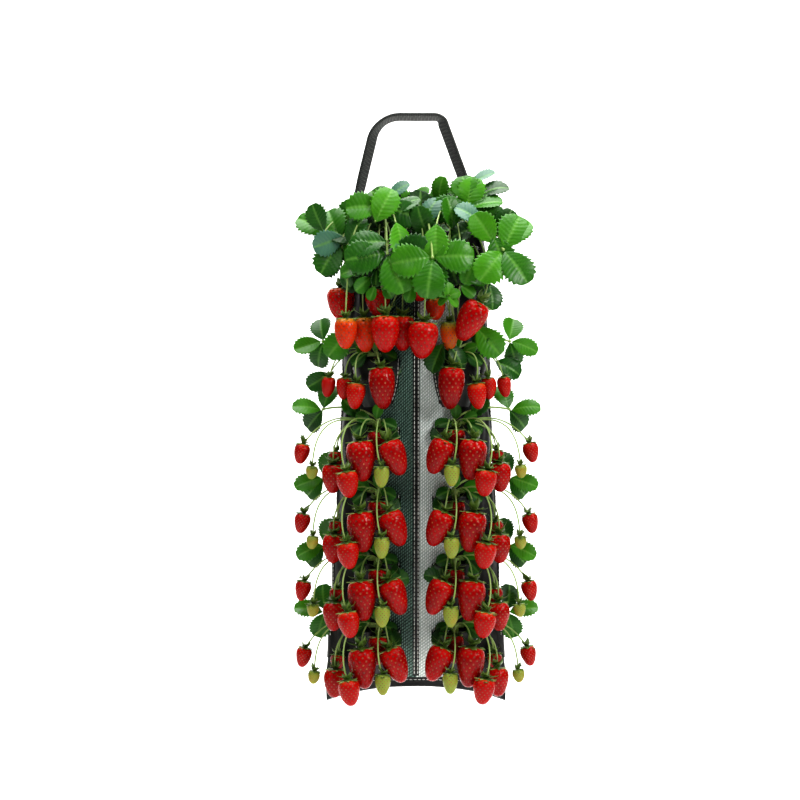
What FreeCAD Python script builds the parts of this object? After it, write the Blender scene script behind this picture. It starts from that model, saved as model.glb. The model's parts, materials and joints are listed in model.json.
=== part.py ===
"""Hanging strawberry grow bag: a sewn tube of woven cloth on a webbing strap, planted and in fruit.

The bag is a flat tube of cloth, open at the mouth, sewn shut along its foot and filled with
potting soil, which swells it. Two columns of cloth pockets stand on its front, each over a round
hole in the cloth, with a plug of soil and a strawberry crown in it. Every pocket has one leaf and
one truss of berries. Three more crowns grow in the mouth.

Frame: millimetres, +Z up, X to the right and -Y towards the viewer. The model is drawn about the
bag's middle, at the height of the strap's top. The files are written from the hook seat, the middle
of the underside of the strap's flat top, which lies a little in front of the bag's middle.
"""
import FreeCAD, Part
import functools
import math
import os

from FreeCAD import Placement, Rotation, Vector

UP = Vector(0, 0, 1)
FRONT = Vector(0, -1, 0)
SIDES = (("left", -1), ("right", 1))

# Driving dimensions: alias, value in millimetres, degrees or a count, and what it measures.
DIMENSIONS = (
    ("strap_width", 25, "width of the webbing"),
    ("strap_ply", 2.2, "thickness of one ply; the strap is two plies"),
    ("strap_top_left", 57, "left corner of the loop, from the middle"),
    ("strap_top_right", 36, "right corner of the loop, from the middle"),
    ("strap_bend_left", 28, "bend radius at the left corner"),
    ("strap_bend_right", 11, "bend radius at the right corner"),
    ("strap_twist", 27, "turn of the webbing along its legs, degrees"),
    ("strap_tail", 86, "length of webbing sewn to the bag's side"),
    ("hang_line", 14, "strap's plane, in front of the bag's middle"),
    ("hinge_gap", 0.5, "gap between the loop's end and its tail"),
    ("rim_drop", 170, "mouth of the bag below the hook seat"),
    ("rim_half_width", 92, "mouth, half across"),
    ("rim_half_depth", 66, "mouth, half front to back"),
    ("shoulder_drop", 75, "shoulder below the mouth"),
    ("shoulder_half_width", 102, "shoulder, half across"),
    ("shoulder_half_depth", 68, "shoulder, half front to back"),
    ("chest_drop", 260, "chest below the mouth"),
    ("chest_half_width", 108, "chest, half across"),
    ("chest_half_depth", 63, "chest, half front to back"),
    ("waist_drop", 420, "waist below the mouth"),
    ("waist_half_width", 116, "waist, half across"),
    ("waist_half_depth", 53, "waist, half front to back"),
    ("knee_drop", 540, "knee below the mouth"),
    ("knee_half_width", 124, "knee, half across"),
    ("knee_half_depth", 38, "knee, half front to back"),
    ("ankle_drop", 620, "ankle below the mouth"),
    ("ankle_half_width", 130, "ankle, half across"),
    ("ankle_half_depth", 20, "ankle, half front to back"),
    ("foot_drop", 648, "end of the filled tube below the mouth"),
    ("foot_half_width", 133, "foot, half across"),
    ("foot_half_depth", 5, "foot, half front to back"),
    ("cloth", 1.2, "thickness of the woven cloth with its lining"),
    ("cloth_gap", 0.3, "clearance between sewn layers"),
    ("hem_height", 25, "height of the folded hem round the mouth"),
    ("hem_thickness", 1.5, "thickness of the folded hem"),
    ("binding_width", 18, "width of the side bindings"),
    ("binding_thickness", 1.2, "thickness of the side bindings"),
    ("seam_width", 9, "width of the front seam's tape"),
    ("seam_thickness", 1.2, "thickness of the front seam's tape"),
    ("foot_seam_corner", 36, "foot seam's depth at its corners"),
    ("foot_seam_middle", 15, "foot seam's depth at its middle"),
    ("foot_seam_thickness", 3, "foot seam's two plies of cloth"),
    ("bottom_cloth", 6, "height of the closed end of the tube"),
    ("soil_headroom", 12, "soil's surface below the mouth"),
    ("soil_floor", 12, "soil's end above the foot"),
    ("pocket_rows", 5, "rows of pockets"),
    ("pocket_column", 56, "column of pockets, from the middle"),
    ("pocket_first", 182, "first row of pocket mouths below the mouth"),
    ("pocket_pitch", 98, "row to row"),
    ("pocket_height", 70, "pocket from its mouth to its sewn end"),
    ("pocket_half_width", 34, "pocket's mouth, half across"),
    ("pocket_bulge", 16, "pocket's mouth, out from the bag"),
    ("pocket_end_half_width", 26, "pocket's sewn end, half across"),
    ("pocket_end_bulge", 3.2, "pocket's sewn end, out from the bag"),
    ("pocket_soil_depth", 9, "soil in a pocket below its mouth"),
    ("slit_radius", 13, "hole in the cloth behind a pocket"),
    ("slit_depth", 34, "hole below the pocket's mouth"),
    ("crown_radius", 4.5, "crown in a pocket"),
    ("crown_height", 11, "crown in a pocket, above its soil"),
    ("crown_stand", 7.5, "crown's axis out from the bag"),
    ("top_crown_radius", 13, "crown in the mouth"),
    ("top_crown_height", 17, "crown in the mouth, above the soil"),
    ("top_crown_pitch", 52, "crown to crown in the mouth"),
    ("knuckle_radius", 2.6, "swollen base of a truss, on its axis"),
    ("knuckle_forward", 3.5, "truss's axis in front of its crown"),
    ("knuckle_length", 24, "swollen base of a truss, across"),
    ("stalk_radius", 1.1, "stalk of a berry"),
    ("petiole_radius", 1.5, "stalk of a leaf"),
    ("joint_radius", 2.3, "swelling where a leaf's blades meet"),
    ("blade_thickness", 0.9, "leaf blade"),
    ("blade_dome", 78, "radius that a blade is domed to"),
    ("calyx_thickness", 0.9, "leaflets over a berry's shoulder"),
    ("berry_gap", 0.3, "clearance between a berry and its calyx"),
)

doc = FreeCAD.newDocument("grow_bag")
sheet = doc.addObject("Spreadsheet::Sheet", "Dimensions")
for row, (alias, size, meaning) in enumerate(DIMENSIONS, start=1):
    sheet.set(f"A{row}", alias)
    sheet.set(f"B{row}", str(size))
    sheet.set(f"C{row}", meaning)
    sheet.setAlias(f"B{row}", alias)
doc.recompute()

subparts = []


def size_of(alias):
    """The value of a driving dimension."""
    return float(sheet.get(alias))


def bind(feature, **expressions):
    """Ties properties of a feature to the sheet; a double underscore stands for a dot."""
    for name, expression in expressions.items():
        feature.setExpression(name.replace("__", "."), expression)


def subpart(feature, label):
    """Marks a feature as a piece of the object, under the name of its file."""
    feature.Label = label
    subparts.append(feature)
    return feature


def shape_subpart(label, solids):
    """A piece, or a group of alike pieces, whose shape is worked out here."""
    feature = doc.addObject("Part::Feature", label)
    feature.Shape = solids[0] if len(solids) == 1 else Part.makeCompound(solids)
    return subpart(feature, label)


# The filled tube

SECTIONS = ("rim", "shoulder", "chest", "waist", "knee", "ankle", "foot")


def section_level(name):
    """Height of a section of the bag, as an expression."""
    if name == "rim":
        return "-Dimensions.rim_drop"
    return f"-Dimensions.rim_drop - Dimensions.{name}_drop"


def tube(label, offset):
    """A closed solid through the bag's sections, grown by an offset."""
    rings = []
    for name in SECTIONS:
        ring = doc.addObject("Part::Ellipse", f"{label}_{name}")
        bind(
            ring,
            MajorRadius=f"Dimensions.{name}_half_width + ({offset})",
            MinorRadius=f"Dimensions.{name}_half_depth + ({offset})",
        )
        bind(ring, Placement__Base__z=section_level(name))
        rings.append(ring)
    loft = doc.addObject("Part::Loft", label)
    loft.Sections = rings
    loft.Solid = True
    return loft


def cut(label, base, tool):
    """Base less tool."""
    feature = doc.addObject("Part::Cut", label)
    feature.Base, feature.Tool = base, tool
    return feature


def common(label, base, tool):
    """What base and tool share."""
    feature = doc.addObject("Part::Common", label)
    feature.Base, feature.Tool = base, tool
    return feature


def block(label, low, high):
    """A box between two corners, each given as three expressions."""
    box = doc.addObject("Part::Box", label)
    for axis, length, start, end in zip("xyz", ("Length", "Width", "Height"), low, high):
        box.setExpression(f"Placement.Base.{axis}", start)
        box.setExpression(length, f"({end}) - ({start})")
    return box


FAR = "2 * Dimensions.foot_half_width"
RIM_LEVEL = "-Dimensions.rim_drop"
FOOT_LEVEL = "(-Dimensions.rim_drop - Dimensions.foot_drop)"
ANKLE_LEVEL = "(-Dimensions.rim_drop - Dimensions.ankle_drop)"
HEM_LEVEL = "(-Dimensions.rim_drop - Dimensions.hem_height)"
GAP = "Dimensions.cloth_gap"


def between(label, low, high):
    """A wide block between two levels."""
    return block(label, (f"-{FAR}", f"-{FAR}", low), (FAR, FAR, high))


tube_outside = tube("tube_outside", "0")
tube_inside = common(
    "tube_inside",
    tube("tube_lining", "-Dimensions.cloth"),
    between("tube_room", f"{FOOT_LEVEL} + Dimensions.bottom_cloth", "0"),
)
tube_clear = tube("tube_clear", GAP)
doc.recompute()
OUTSIDE = tube_outside.Shape
RIM = -size_of("rim_drop")
PROBE_STEP = 1.0


@functools.lru_cache(maxsize=None)
def front_of_bag(x, z):
    """The point of the bag's front at a place in the front view."""
    probe = Part.makeLine(Vector(x, -size_of("rim_drop") - size_of("rim_half_depth"), z), Vector(x, 0, z))
    inside = OUTSIDE.common(probe)
    return min((v.Point for v in inside.Vertexes), key=lambda p: p.y)


@functools.lru_cache(maxsize=None)
def front_normal(x, z):
    """The level direction out of the bag's front there."""
    along = front_of_bag(x + PROBE_STEP, z) - front_of_bag(x - PROBE_STEP, z)
    return Vector(along.y, -along.x, 0).normalize()


@functools.lru_cache(maxsize=None)
def front_square(x, z):
    """The direction square to the bag's front there."""
    along = front_of_bag(x + PROBE_STEP, z) - front_of_bag(x - PROBE_STEP, z)
    upward = front_of_bag(x, z + PROBE_STEP) - front_of_bag(x, z - PROBE_STEP)
    return along.cross(upward).normalize()


def pocket_mouth(side, row):
    """The middle of a pocket's mouth, on the bag's front."""
    level = RIM - size_of("pocket_first") - size_of("pocket_pitch") * row
    return front_of_bag(side * size_of("pocket_column"), level)


ROWS = range(int(size_of("pocket_rows")))
PLANTS = [(f"{name}_{row + 1}", side, row) for name, side in SIDES for row in ROWS]


def rod(start, along, radius, length):
    """A round rod from a point along a direction."""
    return Part.makeCylinder(radius, length, start, along)


# The bag's cloth, with a round hole behind every pocket


def slit_rod(side, row, radius, reach):
    """A rod through the cloth behind a pocket, square to the bag."""
    mouth = pocket_mouth(side, row)
    centre = front_of_bag(mouth.x, mouth.z - size_of("slit_depth"))
    out = front_square(mouth.x, centre.z)
    return rod(centre - out * reach, out, radius, 2 * reach)


slits = doc.addObject("Part::Feature", "slits")
slit_radius = size_of("slit_radius")
slits.Shape = Part.makeCompound([slit_rod(side, row, slit_radius, slit_radius) for _, side, row in PLANTS])
tube_wall = cut("tube_wall", tube_outside, tube_inside)
subpart(cut("bag_cloth", tube_wall, slits), "bag_body")


def layer(label, inner, outer, low, high):
    """A strip of cloth on the bag between two offsets, kept inside a box."""
    around = cut(f"{label}_layer", tube(f"{label}_out", outer), tube(f"{label}_in", inner))
    return common(label, around, block(f"{label}_box", low, high))


HEM_OUT = "Dimensions.cloth_gap + Dimensions.hem_thickness"
BINDING_OUT = "Dimensions.cloth_gap + Dimensions.binding_thickness"

subpart(
    layer("hem", GAP, HEM_OUT, (f"-{FAR}", f"-{FAR}", HEM_LEVEL), (FAR, FAR, RIM_LEVEL)),
    "top_hem",
)
for side_name, low_x, high_x in (("left", f"-{FAR}", "0"), ("right", "0", FAR)):
    strip = layer(
        f"binding_{side_name}",
        GAP,
        BINDING_OUT,
        (low_x, "-Dimensions.binding_width / 2", ANKLE_LEVEL),
        (high_x, "Dimensions.binding_width / 2", f"{HEM_LEVEL} - {GAP}"),
    )
    subpart(strip, f"side_binding_{side_name}")
subpart(
    layer(
        "seam",
        GAP,
        "Dimensions.cloth_gap + Dimensions.seam_thickness",
        ("-Dimensions.seam_width / 2", f"-{FAR}", FOOT_LEVEL),
        ("Dimensions.seam_width / 2", "0", f"{HEM_LEVEL} - {GAP}"),
    ),
    "centre_seam_tape",
)

TAIL_IN = f"{HEM_OUT} + {GAP}"
TAIL_OUT = f"{TAIL_IN} + 2 * Dimensions.strap_ply"
for side_name, low_x, high_x in (("left", f"-{FAR}", "0"), ("right", "0", FAR)):
    tail = layer(
        f"tail_{side_name}",
        TAIL_IN,
        TAIL_OUT,
        (low_x, "-Dimensions.hang_line - Dimensions.strap_width / 2", f"{RIM_LEVEL} - Dimensions.strap_tail"),
        (high_x, "-Dimensions.hang_line + Dimensions.strap_width / 2", RIM_LEVEL),
    )
    subpart(tail, f"strap_tail_{side_name}")

# The foot seam: both plies sewn flat, with an arched edge and two hanging corners

foot_seam = doc.addObject("PartDesign::Body", "foot_seam")
upright = next(plane for plane in foot_seam.Origin.OriginFeatures if plane.Role == "XZ_Plane")
outline = foot_seam.newObject("Sketcher::SketchObject", "foot_outline")
outline.AttachmentSupport = (upright, "")
outline.MapMode = "FlatFace"
half, top = size_of("foot_half_width"), RIM - size_of("foot_drop")
corner, middle = top - size_of("foot_seam_corner"), top - size_of("foot_seam_middle")
top_left, top_right = Vector(-half, top, 0), Vector(half, top, 0)
low_left, low_right = Vector(-half, corner, 0), Vector(half, corner, 0)
outline.addGeometry(Part.LineSegment(top_left, top_right))
outline.addGeometry(Part.LineSegment(top_right, low_right))
outline.addGeometry(Part.Arc(low_right, Vector(0, middle, 0), low_left))
outline.addGeometry(Part.LineSegment(low_left, top_left))
subpart(foot_seam, "bottom_seam")
pad = foot_seam.newObject("PartDesign::Pad", "foot_plies")
pad.Profile = outline
bind(pad, Length="Dimensions.foot_seam_thickness")
pad.Midplane = True

# The soil inside the bag

soil_tube = tube("soil_tube", "-Dimensions.cloth - Dimensions.cloth_gap")
soil_room = between(
    "soil_room",
    f"{FOOT_LEVEL} + Dimensions.soil_floor",
    f"{RIM_LEVEL} - Dimensions.soil_headroom",
)
subpart(common("soil", soil_tube, soil_room), "soil_core")
doc.recompute()

# The strap's loop: a flat top for the hook, two bends, and two legs that turn and then lie to the bag

STRAP_THICK = 2 * size_of("strap_ply")
HINGE_LEVEL = RIM + size_of("hinge_gap") + size_of("strap_width") / 2
HANG_Y = -size_of("hang_line")


def side_of_bag(side, y, z):
    """The point of the bag's side at a depth and a height."""
    probe = Part.makeLine(Vector(0, y, z), Vector(side * 2 * size_of("foot_half_width"), y, z))
    return max((v.Point for v in OUTSIDE.common(probe).Vertexes), key=lambda p: side * p.x)


def strap_end(side):
    """Where a leg's middle meets its tail, on the fold line."""
    along = side_of_bag(side, HANG_Y + 1, RIM - 1) - side_of_bag(side, HANG_Y - 1, RIM - 1)
    out = Vector(along.y, -along.x, 0).normalize() * side
    stand = 2 * size_of("cloth_gap") + size_of("hem_thickness") + STRAP_THICK / 2
    foot = side_of_bag(side, HANG_Y, RIM - 1) + out * stand
    lean = math.degrees(math.atan2(out.y, abs(out.x)))
    return Vector(foot.x, HANG_Y, HINGE_LEVEL), lean


def webbing_section(centre, along, turn):
    """A rectangle across the strap: its width runs front to back, turned about the strap."""
    back = Rotation(along, turn).multVec(-FRONT)
    face = along.cross(back).normalize()
    across, thick = back * (size_of("strap_width") / 2), face * (STRAP_THICK / 2)
    around = (across + thick, thick - across, -across - thick, across - thick)
    corners = [centre + step for step in around]
    return Part.makePolygon(corners + corners[:1])


def strap_leg(side):
    """One leg of the loop with its bend, from the fold line to the flat top; also the flat's end."""
    name = "left" if side < 0 else "right"
    end, lean = strap_end(side)
    corner_point = Vector(side * size_of(f"strap_top_{name}"), HANG_Y, STRAP_THICK / 2)
    rise = (corner_point - end).normalize()
    flat = Vector(-side, 0, 0)
    turn = rise.getAngle(flat)
    radius = size_of(f"strap_bend_{name}")
    run = radius * math.tan(turn / 2)
    start_bend, end_bend = corner_point - rise * run, corner_point + flat * run
    centre = end_bend - UP * radius
    twist = -side * size_of("strap_twist")
    leg = start_bend - end
    stations = [
        (end, rise, -lean * side),
        (end + leg * 0.28, rise, twist * 0.8),
        (end + leg * 0.5, rise, twist),
    ]
    bend_steps = 6
    for step in range(bend_steps + 1):
        share = step / bend_steps
        swing = Rotation(Vector(0, side, 0), math.degrees(turn) * (1 - share))
        place = centre + swing.multVec(end_bend - centre)
        stations.append((place, swing.multVec(flat), twist * (1 - share)))
    loft = Part.makeLoft([webbing_section(*station) for station in stations], True, True)
    return loft, end_bend, end


def rounded_end(end):
    """Everything above the fold line and a rod along it: keeps a leg's end round about its hinge."""
    reach = size_of("rim_drop")
    above = Part.makeBox(4 * reach, 4 * reach, 2 * reach, Vector(-2 * reach, -2 * reach, end.z))
    knuckle = rod(Vector(-2 * reach, end.y, end.z), Vector(1, 0, 0), size_of("strap_width") / 2, 4 * reach)
    return above.fuse(knuckle)


def end_piece(side, end, lean):
    """The last half width of a leg, below its fold line, before it is rounded."""
    lowest = end - UP * (size_of("strap_width") / 2)
    sections = [webbing_section(place, UP, -lean * side) for place in (end, lowest)]
    return Part.makeLoft(sections, True, True)


legs = []
for _, side in SIDES:
    leg_loft, flat_end, fold = strap_leg(side)
    tip = end_piece(side, fold, strap_end(side)[1])
    legs.append((leg_loft.fuse(tip).common(rounded_end(fold)), flat_end))
flat_length = legs[1][1].x - legs[0][1].x
strap_top = Part.makeBox(
    flat_length, size_of("strap_width"), STRAP_THICK,
    Vector(legs[0][1].x, HANG_Y - size_of("strap_width") / 2, 0),
)
shape_subpart("handle_strap", [strap_top.fuse([legs[0][0], legs[1][0]]).removeSplitter()])

# Pockets: cloth scoops sewn to the bag at their sides and end


def level_ellipse(centre, out, half_width, bulge):
    """An ellipse in a level plane, its short axis out of the bag."""
    long_axis = UP.cross(out).normalize()
    turned = half_width < bulge
    major, minor = max(half_width, bulge), min(half_width, bulge)
    curve = Part.Ellipse(Vector(), major, minor)
    edge = curve.toShape()
    angle = math.degrees(math.atan2(long_axis.y, long_axis.x)) + (90 if turned else 0)
    edge.Placement = Placement(centre, Rotation(UP, angle))
    return Part.Wire([edge])


def pocket_back(side, row, depth):
    """A point down the straight line from a pocket's mouth to its sewn end."""
    mouth = pocket_mouth(side, row)
    end = front_of_bag(mouth.x, mouth.z - size_of("pocket_height"))
    return mouth + (end - mouth) * (depth / size_of("pocket_height"))


def scoop(side, row, inset, low, high):
    """A closed scoop from its sewn end to its mouth, inset from the pocket's outside."""
    mouth = pocket_mouth(side, row)
    out = front_normal(mouth.x, mouth.z)
    rings = []
    for place in (low, high):
        share = place / size_of("pocket_height")
        centre = pocket_back(side, row, place)
        wide = size_of("pocket_half_width") * (1 - share) + size_of("pocket_end_half_width") * share
        deep = size_of("pocket_bulge") * (1 - share) + size_of("pocket_end_bulge") * share
        rings.append(level_ellipse(centre, out, wide - inset, deep - inset))
    return Part.makeLoft(rings, True, True)


CLEAR = tube_clear.Shape
INSIDE = tube_inside.Shape
cloth_wall = size_of("cloth")
pocket_end = size_of("pocket_height")
for name, side, row in PLANTS:
    hollow = scoop(side, row, cloth_wall, pocket_end - 2 * cloth_wall, -cloth_wall)
    shell = scoop(side, row, 0, pocket_end, 0).cut(hollow).cut(CLEAR)
    shape_subpart(f"pocket_{name}", shell.Solids)


def pocket_plug(side, row):
    """The soil in a pocket, with its neck through the cloth to the soil inside."""
    inset = cloth_wall + size_of("cloth_gap")
    low = pocket_end - 4 * cloth_wall
    fill = scoop(side, row, inset, low, size_of("pocket_soil_depth"))
    neck = slit_rod(side, row, size_of("slit_radius") - size_of("cloth_gap"), size_of("pocket_end_bulge"))
    return fill.cut(CLEAR).fuse(neck.common(fill).cut(INSIDE)).removeSplitter()


shape_subpart("pocket_soil", [pocket_plug(side, row) for _, side, row in PLANTS])

# Crowns


def crown_solid(base, radius, height):
    """A stubby crown: a revolved bud that narrows to a flat top."""
    foot, top = Vector(radius, 0, 0), Vector(0, 0, height)
    swell, edge = Vector(0.94 * radius, 0, 0.55 * height), Vector(0.5 * radius, 0, height)
    profile = [
        Part.LineSegment(Vector(), foot),
        Part.Arc(foot, swell, edge),
        Part.LineSegment(edge, top),
        Part.LineSegment(top, Vector()),
    ]
    face = Part.Face(Part.Wire([piece.toShape() for piece in profile]))
    bud = face.revolve(Vector(), UP, 360)
    bud.translate(base)
    return bud


def crown_base(side, row):
    """Where a pocket's crown stands on its soil."""
    back = pocket_back(side, row, size_of("pocket_soil_depth"))
    return back + front_normal(back.x, back.z) * size_of("crown_stand")


crown_size = size_of("crown_radius"), size_of("crown_height")
shape_subpart("pocket_crowns", [crown_solid(crown_base(side, row), *crown_size) for _, side, row in PLANTS])
SOIL_TOP = RIM - size_of("soil_headroom")
TOP_CROWNS = [Vector(place * size_of("top_crown_pitch"), HANG_Y, SOIL_TOP) for place in (-1, 0, 1)]
shape_subpart(
    "top_crowns",
    [crown_solid(base, size_of("top_crown_radius"), size_of("top_crown_height")) for base in TOP_CROWNS],
)

# Leaves: three domed, toothed blades on a stalk

TEETH = 8
WIDEST = 0.62
TOOTH = 0.035


def blade_outline(length, width):
    """A toothed leaf outline from its base along +Y, as corners."""
    right = [Vector(0, 0, 0)]
    for step in range(1, 2 * TEETH):
        share = step / (2 * TEETH)
        if share < WIDEST:
            half_width = width / 2 * math.sin(math.pi / 2 * share / WIDEST) ** 1.3
        else:
            half_width = width / 2 * math.sqrt(1 - ((share - WIDEST) / (1 - WIDEST)) ** 2)
        tooth = TOOTH * length if step % 2 and share > 0.25 else 0
        right.append(Vector(half_width + tooth, length * (share + tooth / length), 0))
    left = [Vector(-point.x, point.y, 0) for point in reversed(right[1:])]
    return right + [Vector(0, length, 0)] + left


def blade_master(length, width):
    """A domed blade lying along +Y from the origin, its upper side up."""
    corners = blade_outline(length, width)
    dome, thick = size_of("blade_dome"), size_of("blade_thickness")
    centre = Vector(0, length / 2, -math.sqrt(dome ** 2 - (length / 2) ** 2))
    sag = dome
    prism = Part.Face(Part.makePolygon(corners + corners[:1])).extrude(UP * sag)
    prism.translate(UP * (-sag / 2))
    shell = Part.makeSphere(dome, centre).cut(Part.makeSphere(dome - thick, centre))
    return prism.common(shell).Solids[0]


def frame_of(along, facing):
    """The turn that takes +Y to a direction and +Z towards a facing."""
    y_axis = Vector(along).normalize()
    z_axis = (Vector(facing) - y_axis * y_axis.dot(Vector(facing))).normalize()
    x_axis = y_axis.cross(z_axis)
    return Rotation(x_axis, y_axis, z_axis, "YZX")


def tube_along(points, radius):
    """A round stalk along the smooth curve through some points. Its ring is two half circles, so no seam
    runs along the stalk."""
    curve = Part.BSplineCurve()
    curve.interpolate(points)
    circle = Part.Circle(points[0], curve.tangent(curve.FirstParameter)[0], radius)
    halves = [Part.Arc(circle, start, start + math.pi).toShape() for start in (0, math.pi)]
    return Part.Wire([curve.toShape()]).makePipeShell([Part.Wire(halves)], True, False)


BLADE_MASTERS = {}


def blade(base, along, facing, length):
    """A blade from its base along a direction, its upper side towards a facing."""
    width = 0.82 * length
    if length not in BLADE_MASTERS:
        BLADE_MASTERS[length] = blade_master(length, width)
    solid = BLADE_MASTERS[length].copy()
    solid.Placement = Placement(base, frame_of(along, facing))
    return solid


def leaf(joint, heading, facing, length, spread):
    """The three blades of a leaf round its joint: one ahead and one on each side."""
    blades = []
    facing = Vector(facing).normalize()
    heading = Vector(heading) - facing * facing.dot(Vector(heading))
    for turn in (0, spread, -spread):
        along = Rotation(facing, turn).multVec(heading).normalize()
        stand = size_of("joint_radius") + size_of("berry_gap")
        blades.append(blade(joint + along * stand, along, facing, length))
    return blades


def petiole(*points):
    """A leaf's stalk through some points, with the swelling at its end that carries the blades."""
    stalk = tube_along(points, size_of("petiole_radius"))
    return stalk.fuse(Part.makeSphere(size_of("joint_radius"), points[-1]))


# Berries, each with a star of small leaves on its shoulder

SEPALS = 7
# A berry's outline from its tip to its shoulder, as shares of its width and length: three arcs in turn,
# for the tip, the flank and the shoulder.
BERRY_PROFILE = ((0, 1), (0.125, 0.965), (0.23, 0.88), (0.425, 0.6), (0.5, 0.3), (0.44, 0.1), (0.25, 0))


def berry(top, hang, length, width):
    """A berry from the middle of its flat shoulder along the way it hangs."""
    corners = [Vector(out * width, down * length, 0) for out, down in BERRY_PROFILE]
    arcs = [Part.Arc(*corners[first : first + 3]) for first in (0, 2, 4)]
    flat = Part.LineSegment(corners[-1], Vector())
    axis = Part.LineSegment(Vector(), corners[0])
    face = Part.Face(Part.Wire([piece.toShape() for piece in (axis, *arcs, flat)]))
    solid = face.revolve(Vector(), Vector(0, 1, 0), 360)
    solid.Placement = Placement(top, Rotation(Vector(0, 1, 0), hang))
    return solid


def calyx(top, hang, width):
    """A flat star just over a berry's shoulder."""
    corners = []
    for step in range(2 * SEPALS):
        reach = width * (0.5 if step % 2 else 0.2)
        angle = math.pi * step / SEPALS
        corners.append(Vector(reach * math.cos(angle), -size_of("berry_gap"), reach * math.sin(angle)))
    star = Part.Face(Part.makePolygon(corners + corners[:1]))
    star = star.extrude(Vector(0, -size_of("calyx_thickness"), 0))
    star.Placement = Placement(top, Rotation(Vector(0, 1, 0), hang))
    return star


def stalk_end(top, hang):
    """Where a berry's stalk ends: the middle of its calyx."""
    return top - hang * (size_of("berry_gap") + size_of("calyx_thickness") / 2)


# A truss hangs from its knuckle over the pocket's lip. Each berry: its shoulder's place outward from the
# knuckle, forward and down; its length, width and lean outward; then the places its stalk passes on the
# way, outward, forward and up.

FIRST_TRUSS = (
    ((-8, 31, 20), 58, 37, -4, ((-2, 18, 5),)),
    ((26, 27, 42), 36, 27, 6, ((20, 17, 2),)),
    ((44, 8, 34), 30, 22, 4, ((26, 6, 3),)),
    ((66, 0, 33), 28, 20, 8, ((38, -2, 9),)),
)
FULL_TRUSS = (
    ((22, 46, 28), 56, 40, -6, ((13, 26, 5),)),
    ((-2, 20.5, 14), 40, 27, 0, ((-1, 11, 2),)),
    ((-19, 46, 28), 50, 36, -22, ((-12, 26, 5),)),
    ((-9, 54, 63), 29, 22, 0, ((-4, 34, 3), (-2, 54, -20))),
    ((60, 14, 62), 40, 32, 2, ((44, 10, -8),)),
    ((40, 62, 70), 36, 31, -8, ((37, 34, 0), (47, 56, -34))),
    ((57, -10, 44), 22, 21, 4, ((34, -5, 2),)),
    ((104, -4, 33), 28, 23, 12, ((58, -6, 6),)),
    ((90, 14, 64), 18, 18, 6, ((64, 6, 0),)),
)
# How much lower than the pattern each plant's berries hang, row by row from the top.
TRUSS_DROP = {"left": (0, -2, 0, 0, 0), "right": (0, -4, 0, 0, -2)}


def truss_knuckle(side, row):
    """The axis that a truss swings on, just over its crown."""
    top = crown_base(side, row) + UP * size_of("crown_height")
    lift = size_of("knuckle_radius") + size_of("berry_gap")
    return top + UP * lift + FRONT * size_of("knuckle_forward")


def truss(side, row, pattern, drop):
    """The berries of one truss and the one branched stalk that carries them."""
    pivot = truss_knuckle(side, row)

    def place(out, forward, up):
        return pivot + Vector(side * out, -forward, up)

    half_length = size_of("knuckle_length") / 2
    across = Vector(1, 0, 0)
    stalk = rod(pivot - across * half_length, across, size_of("knuckle_radius"), 2 * half_length)
    berries, branches = [], []
    pitch = size_of("knuckle_length") / len(FULL_TRUSS)
    order = sorted(via[0] for *_, via in pattern)
    for (out, forward, down), length, width, lean, via in pattern:
        top = place(out, forward, -down - drop)
        angle = math.radians(lean)
        hang = Vector(side * math.sin(angle), 0, -math.cos(angle))
        berries.append(berry(top, hang, length, width))
        start = place((order.index(via[0]) - (len(order) - 1) / 2) * pitch, 0, 0)
        path = [start, *(place(*point) for point in via), stalk_end(top, hang)]
        branches.append(tube_along(path, size_of("stalk_radius")))
        branches.append(calyx(top, hang, width))
    return berries, stalk.fuse(branches)


for name, side, row in PLANTS:
    column = "left" if side < 0 else "right"
    pattern = FIRST_TRUSS if row == 0 else FULL_TRUSS
    berries, stalk = truss(side, row, pattern, TRUSS_DROP[column][row])
    shape_subpart(f"truss_{name}_berries", berries)
    shape_subpart(f"truss_{name}_stalks", stalk.Solids)

# A pocket's leaf, from the truss's knuckle, outward, forward and up: the places its stalk passes, and the
# heading, facing and length of each blade. The lower rows stand on a shallower bag, so what lies behind
# the knuckle comes forward there.

LEAF_STALK = ((-4, -5, 2), (6, -3, 12), (26, -8, 20), (50, -11, 23), (76, -13, 20))
LEAF_BLADES = (
    ((0.95, 0.25, -0.1), (0.1, 0.95, 0.45), 42),
    ((-0.1, -0.5, 0.85), (0.3, 0.9, 0.4), 38),
    ((0.45, -0.42, -0.85), (0.4, 0.9, -0.2), 38),
)


def pocket_leaf(side, row):
    """The leaf of a pocket: its stalk and three blades."""
    pivot = truss_knuckle(side, row)
    depth_share = front_of_bag(0, pocket_mouth(side, row).z).y / front_of_bag(0, pocket_mouth(side, 0).z).y

    behind_knuckle = -size_of("knuckle_radius") - size_of("petiole_radius") - 3 * size_of("berry_gap")

    def toward(out, forward, up, free=0):
        back = min(forward - free, 0) * (1 - depth_share)
        return Vector(side * out, back - forward, up)

    stand_off = size_of("crown_radius") + size_of("petiole_radius") + size_of("berry_gap")
    start = crown_base(side, row) + UP * (size_of("crown_height") * 0.4)
    start += toward(-1, -0.3, 0).normalize() * stand_off
    places = [pivot + toward(*place, behind_knuckle) for place in LEAF_STALK]
    solids = [petiole(start, *places)]
    for heading, facing, length in LEAF_BLADES:
        along = toward(*heading).normalize()
        stand = size_of("joint_radius") + size_of("berry_gap")
        solids.append(blade(places[-1] + along * stand, along, toward(*facing), length))
    return solids


for name, side, row in PLANTS:
    shape_subpart(f"leaf_{name}", pocket_leaf(side, row))

# The plants in the mouth: crown, leaf joint, the blade ahead, the facing, the blade's length and their
# spread, how far the stalk arches over the straight line, and whether it leaves the crown's side or its top

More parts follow.
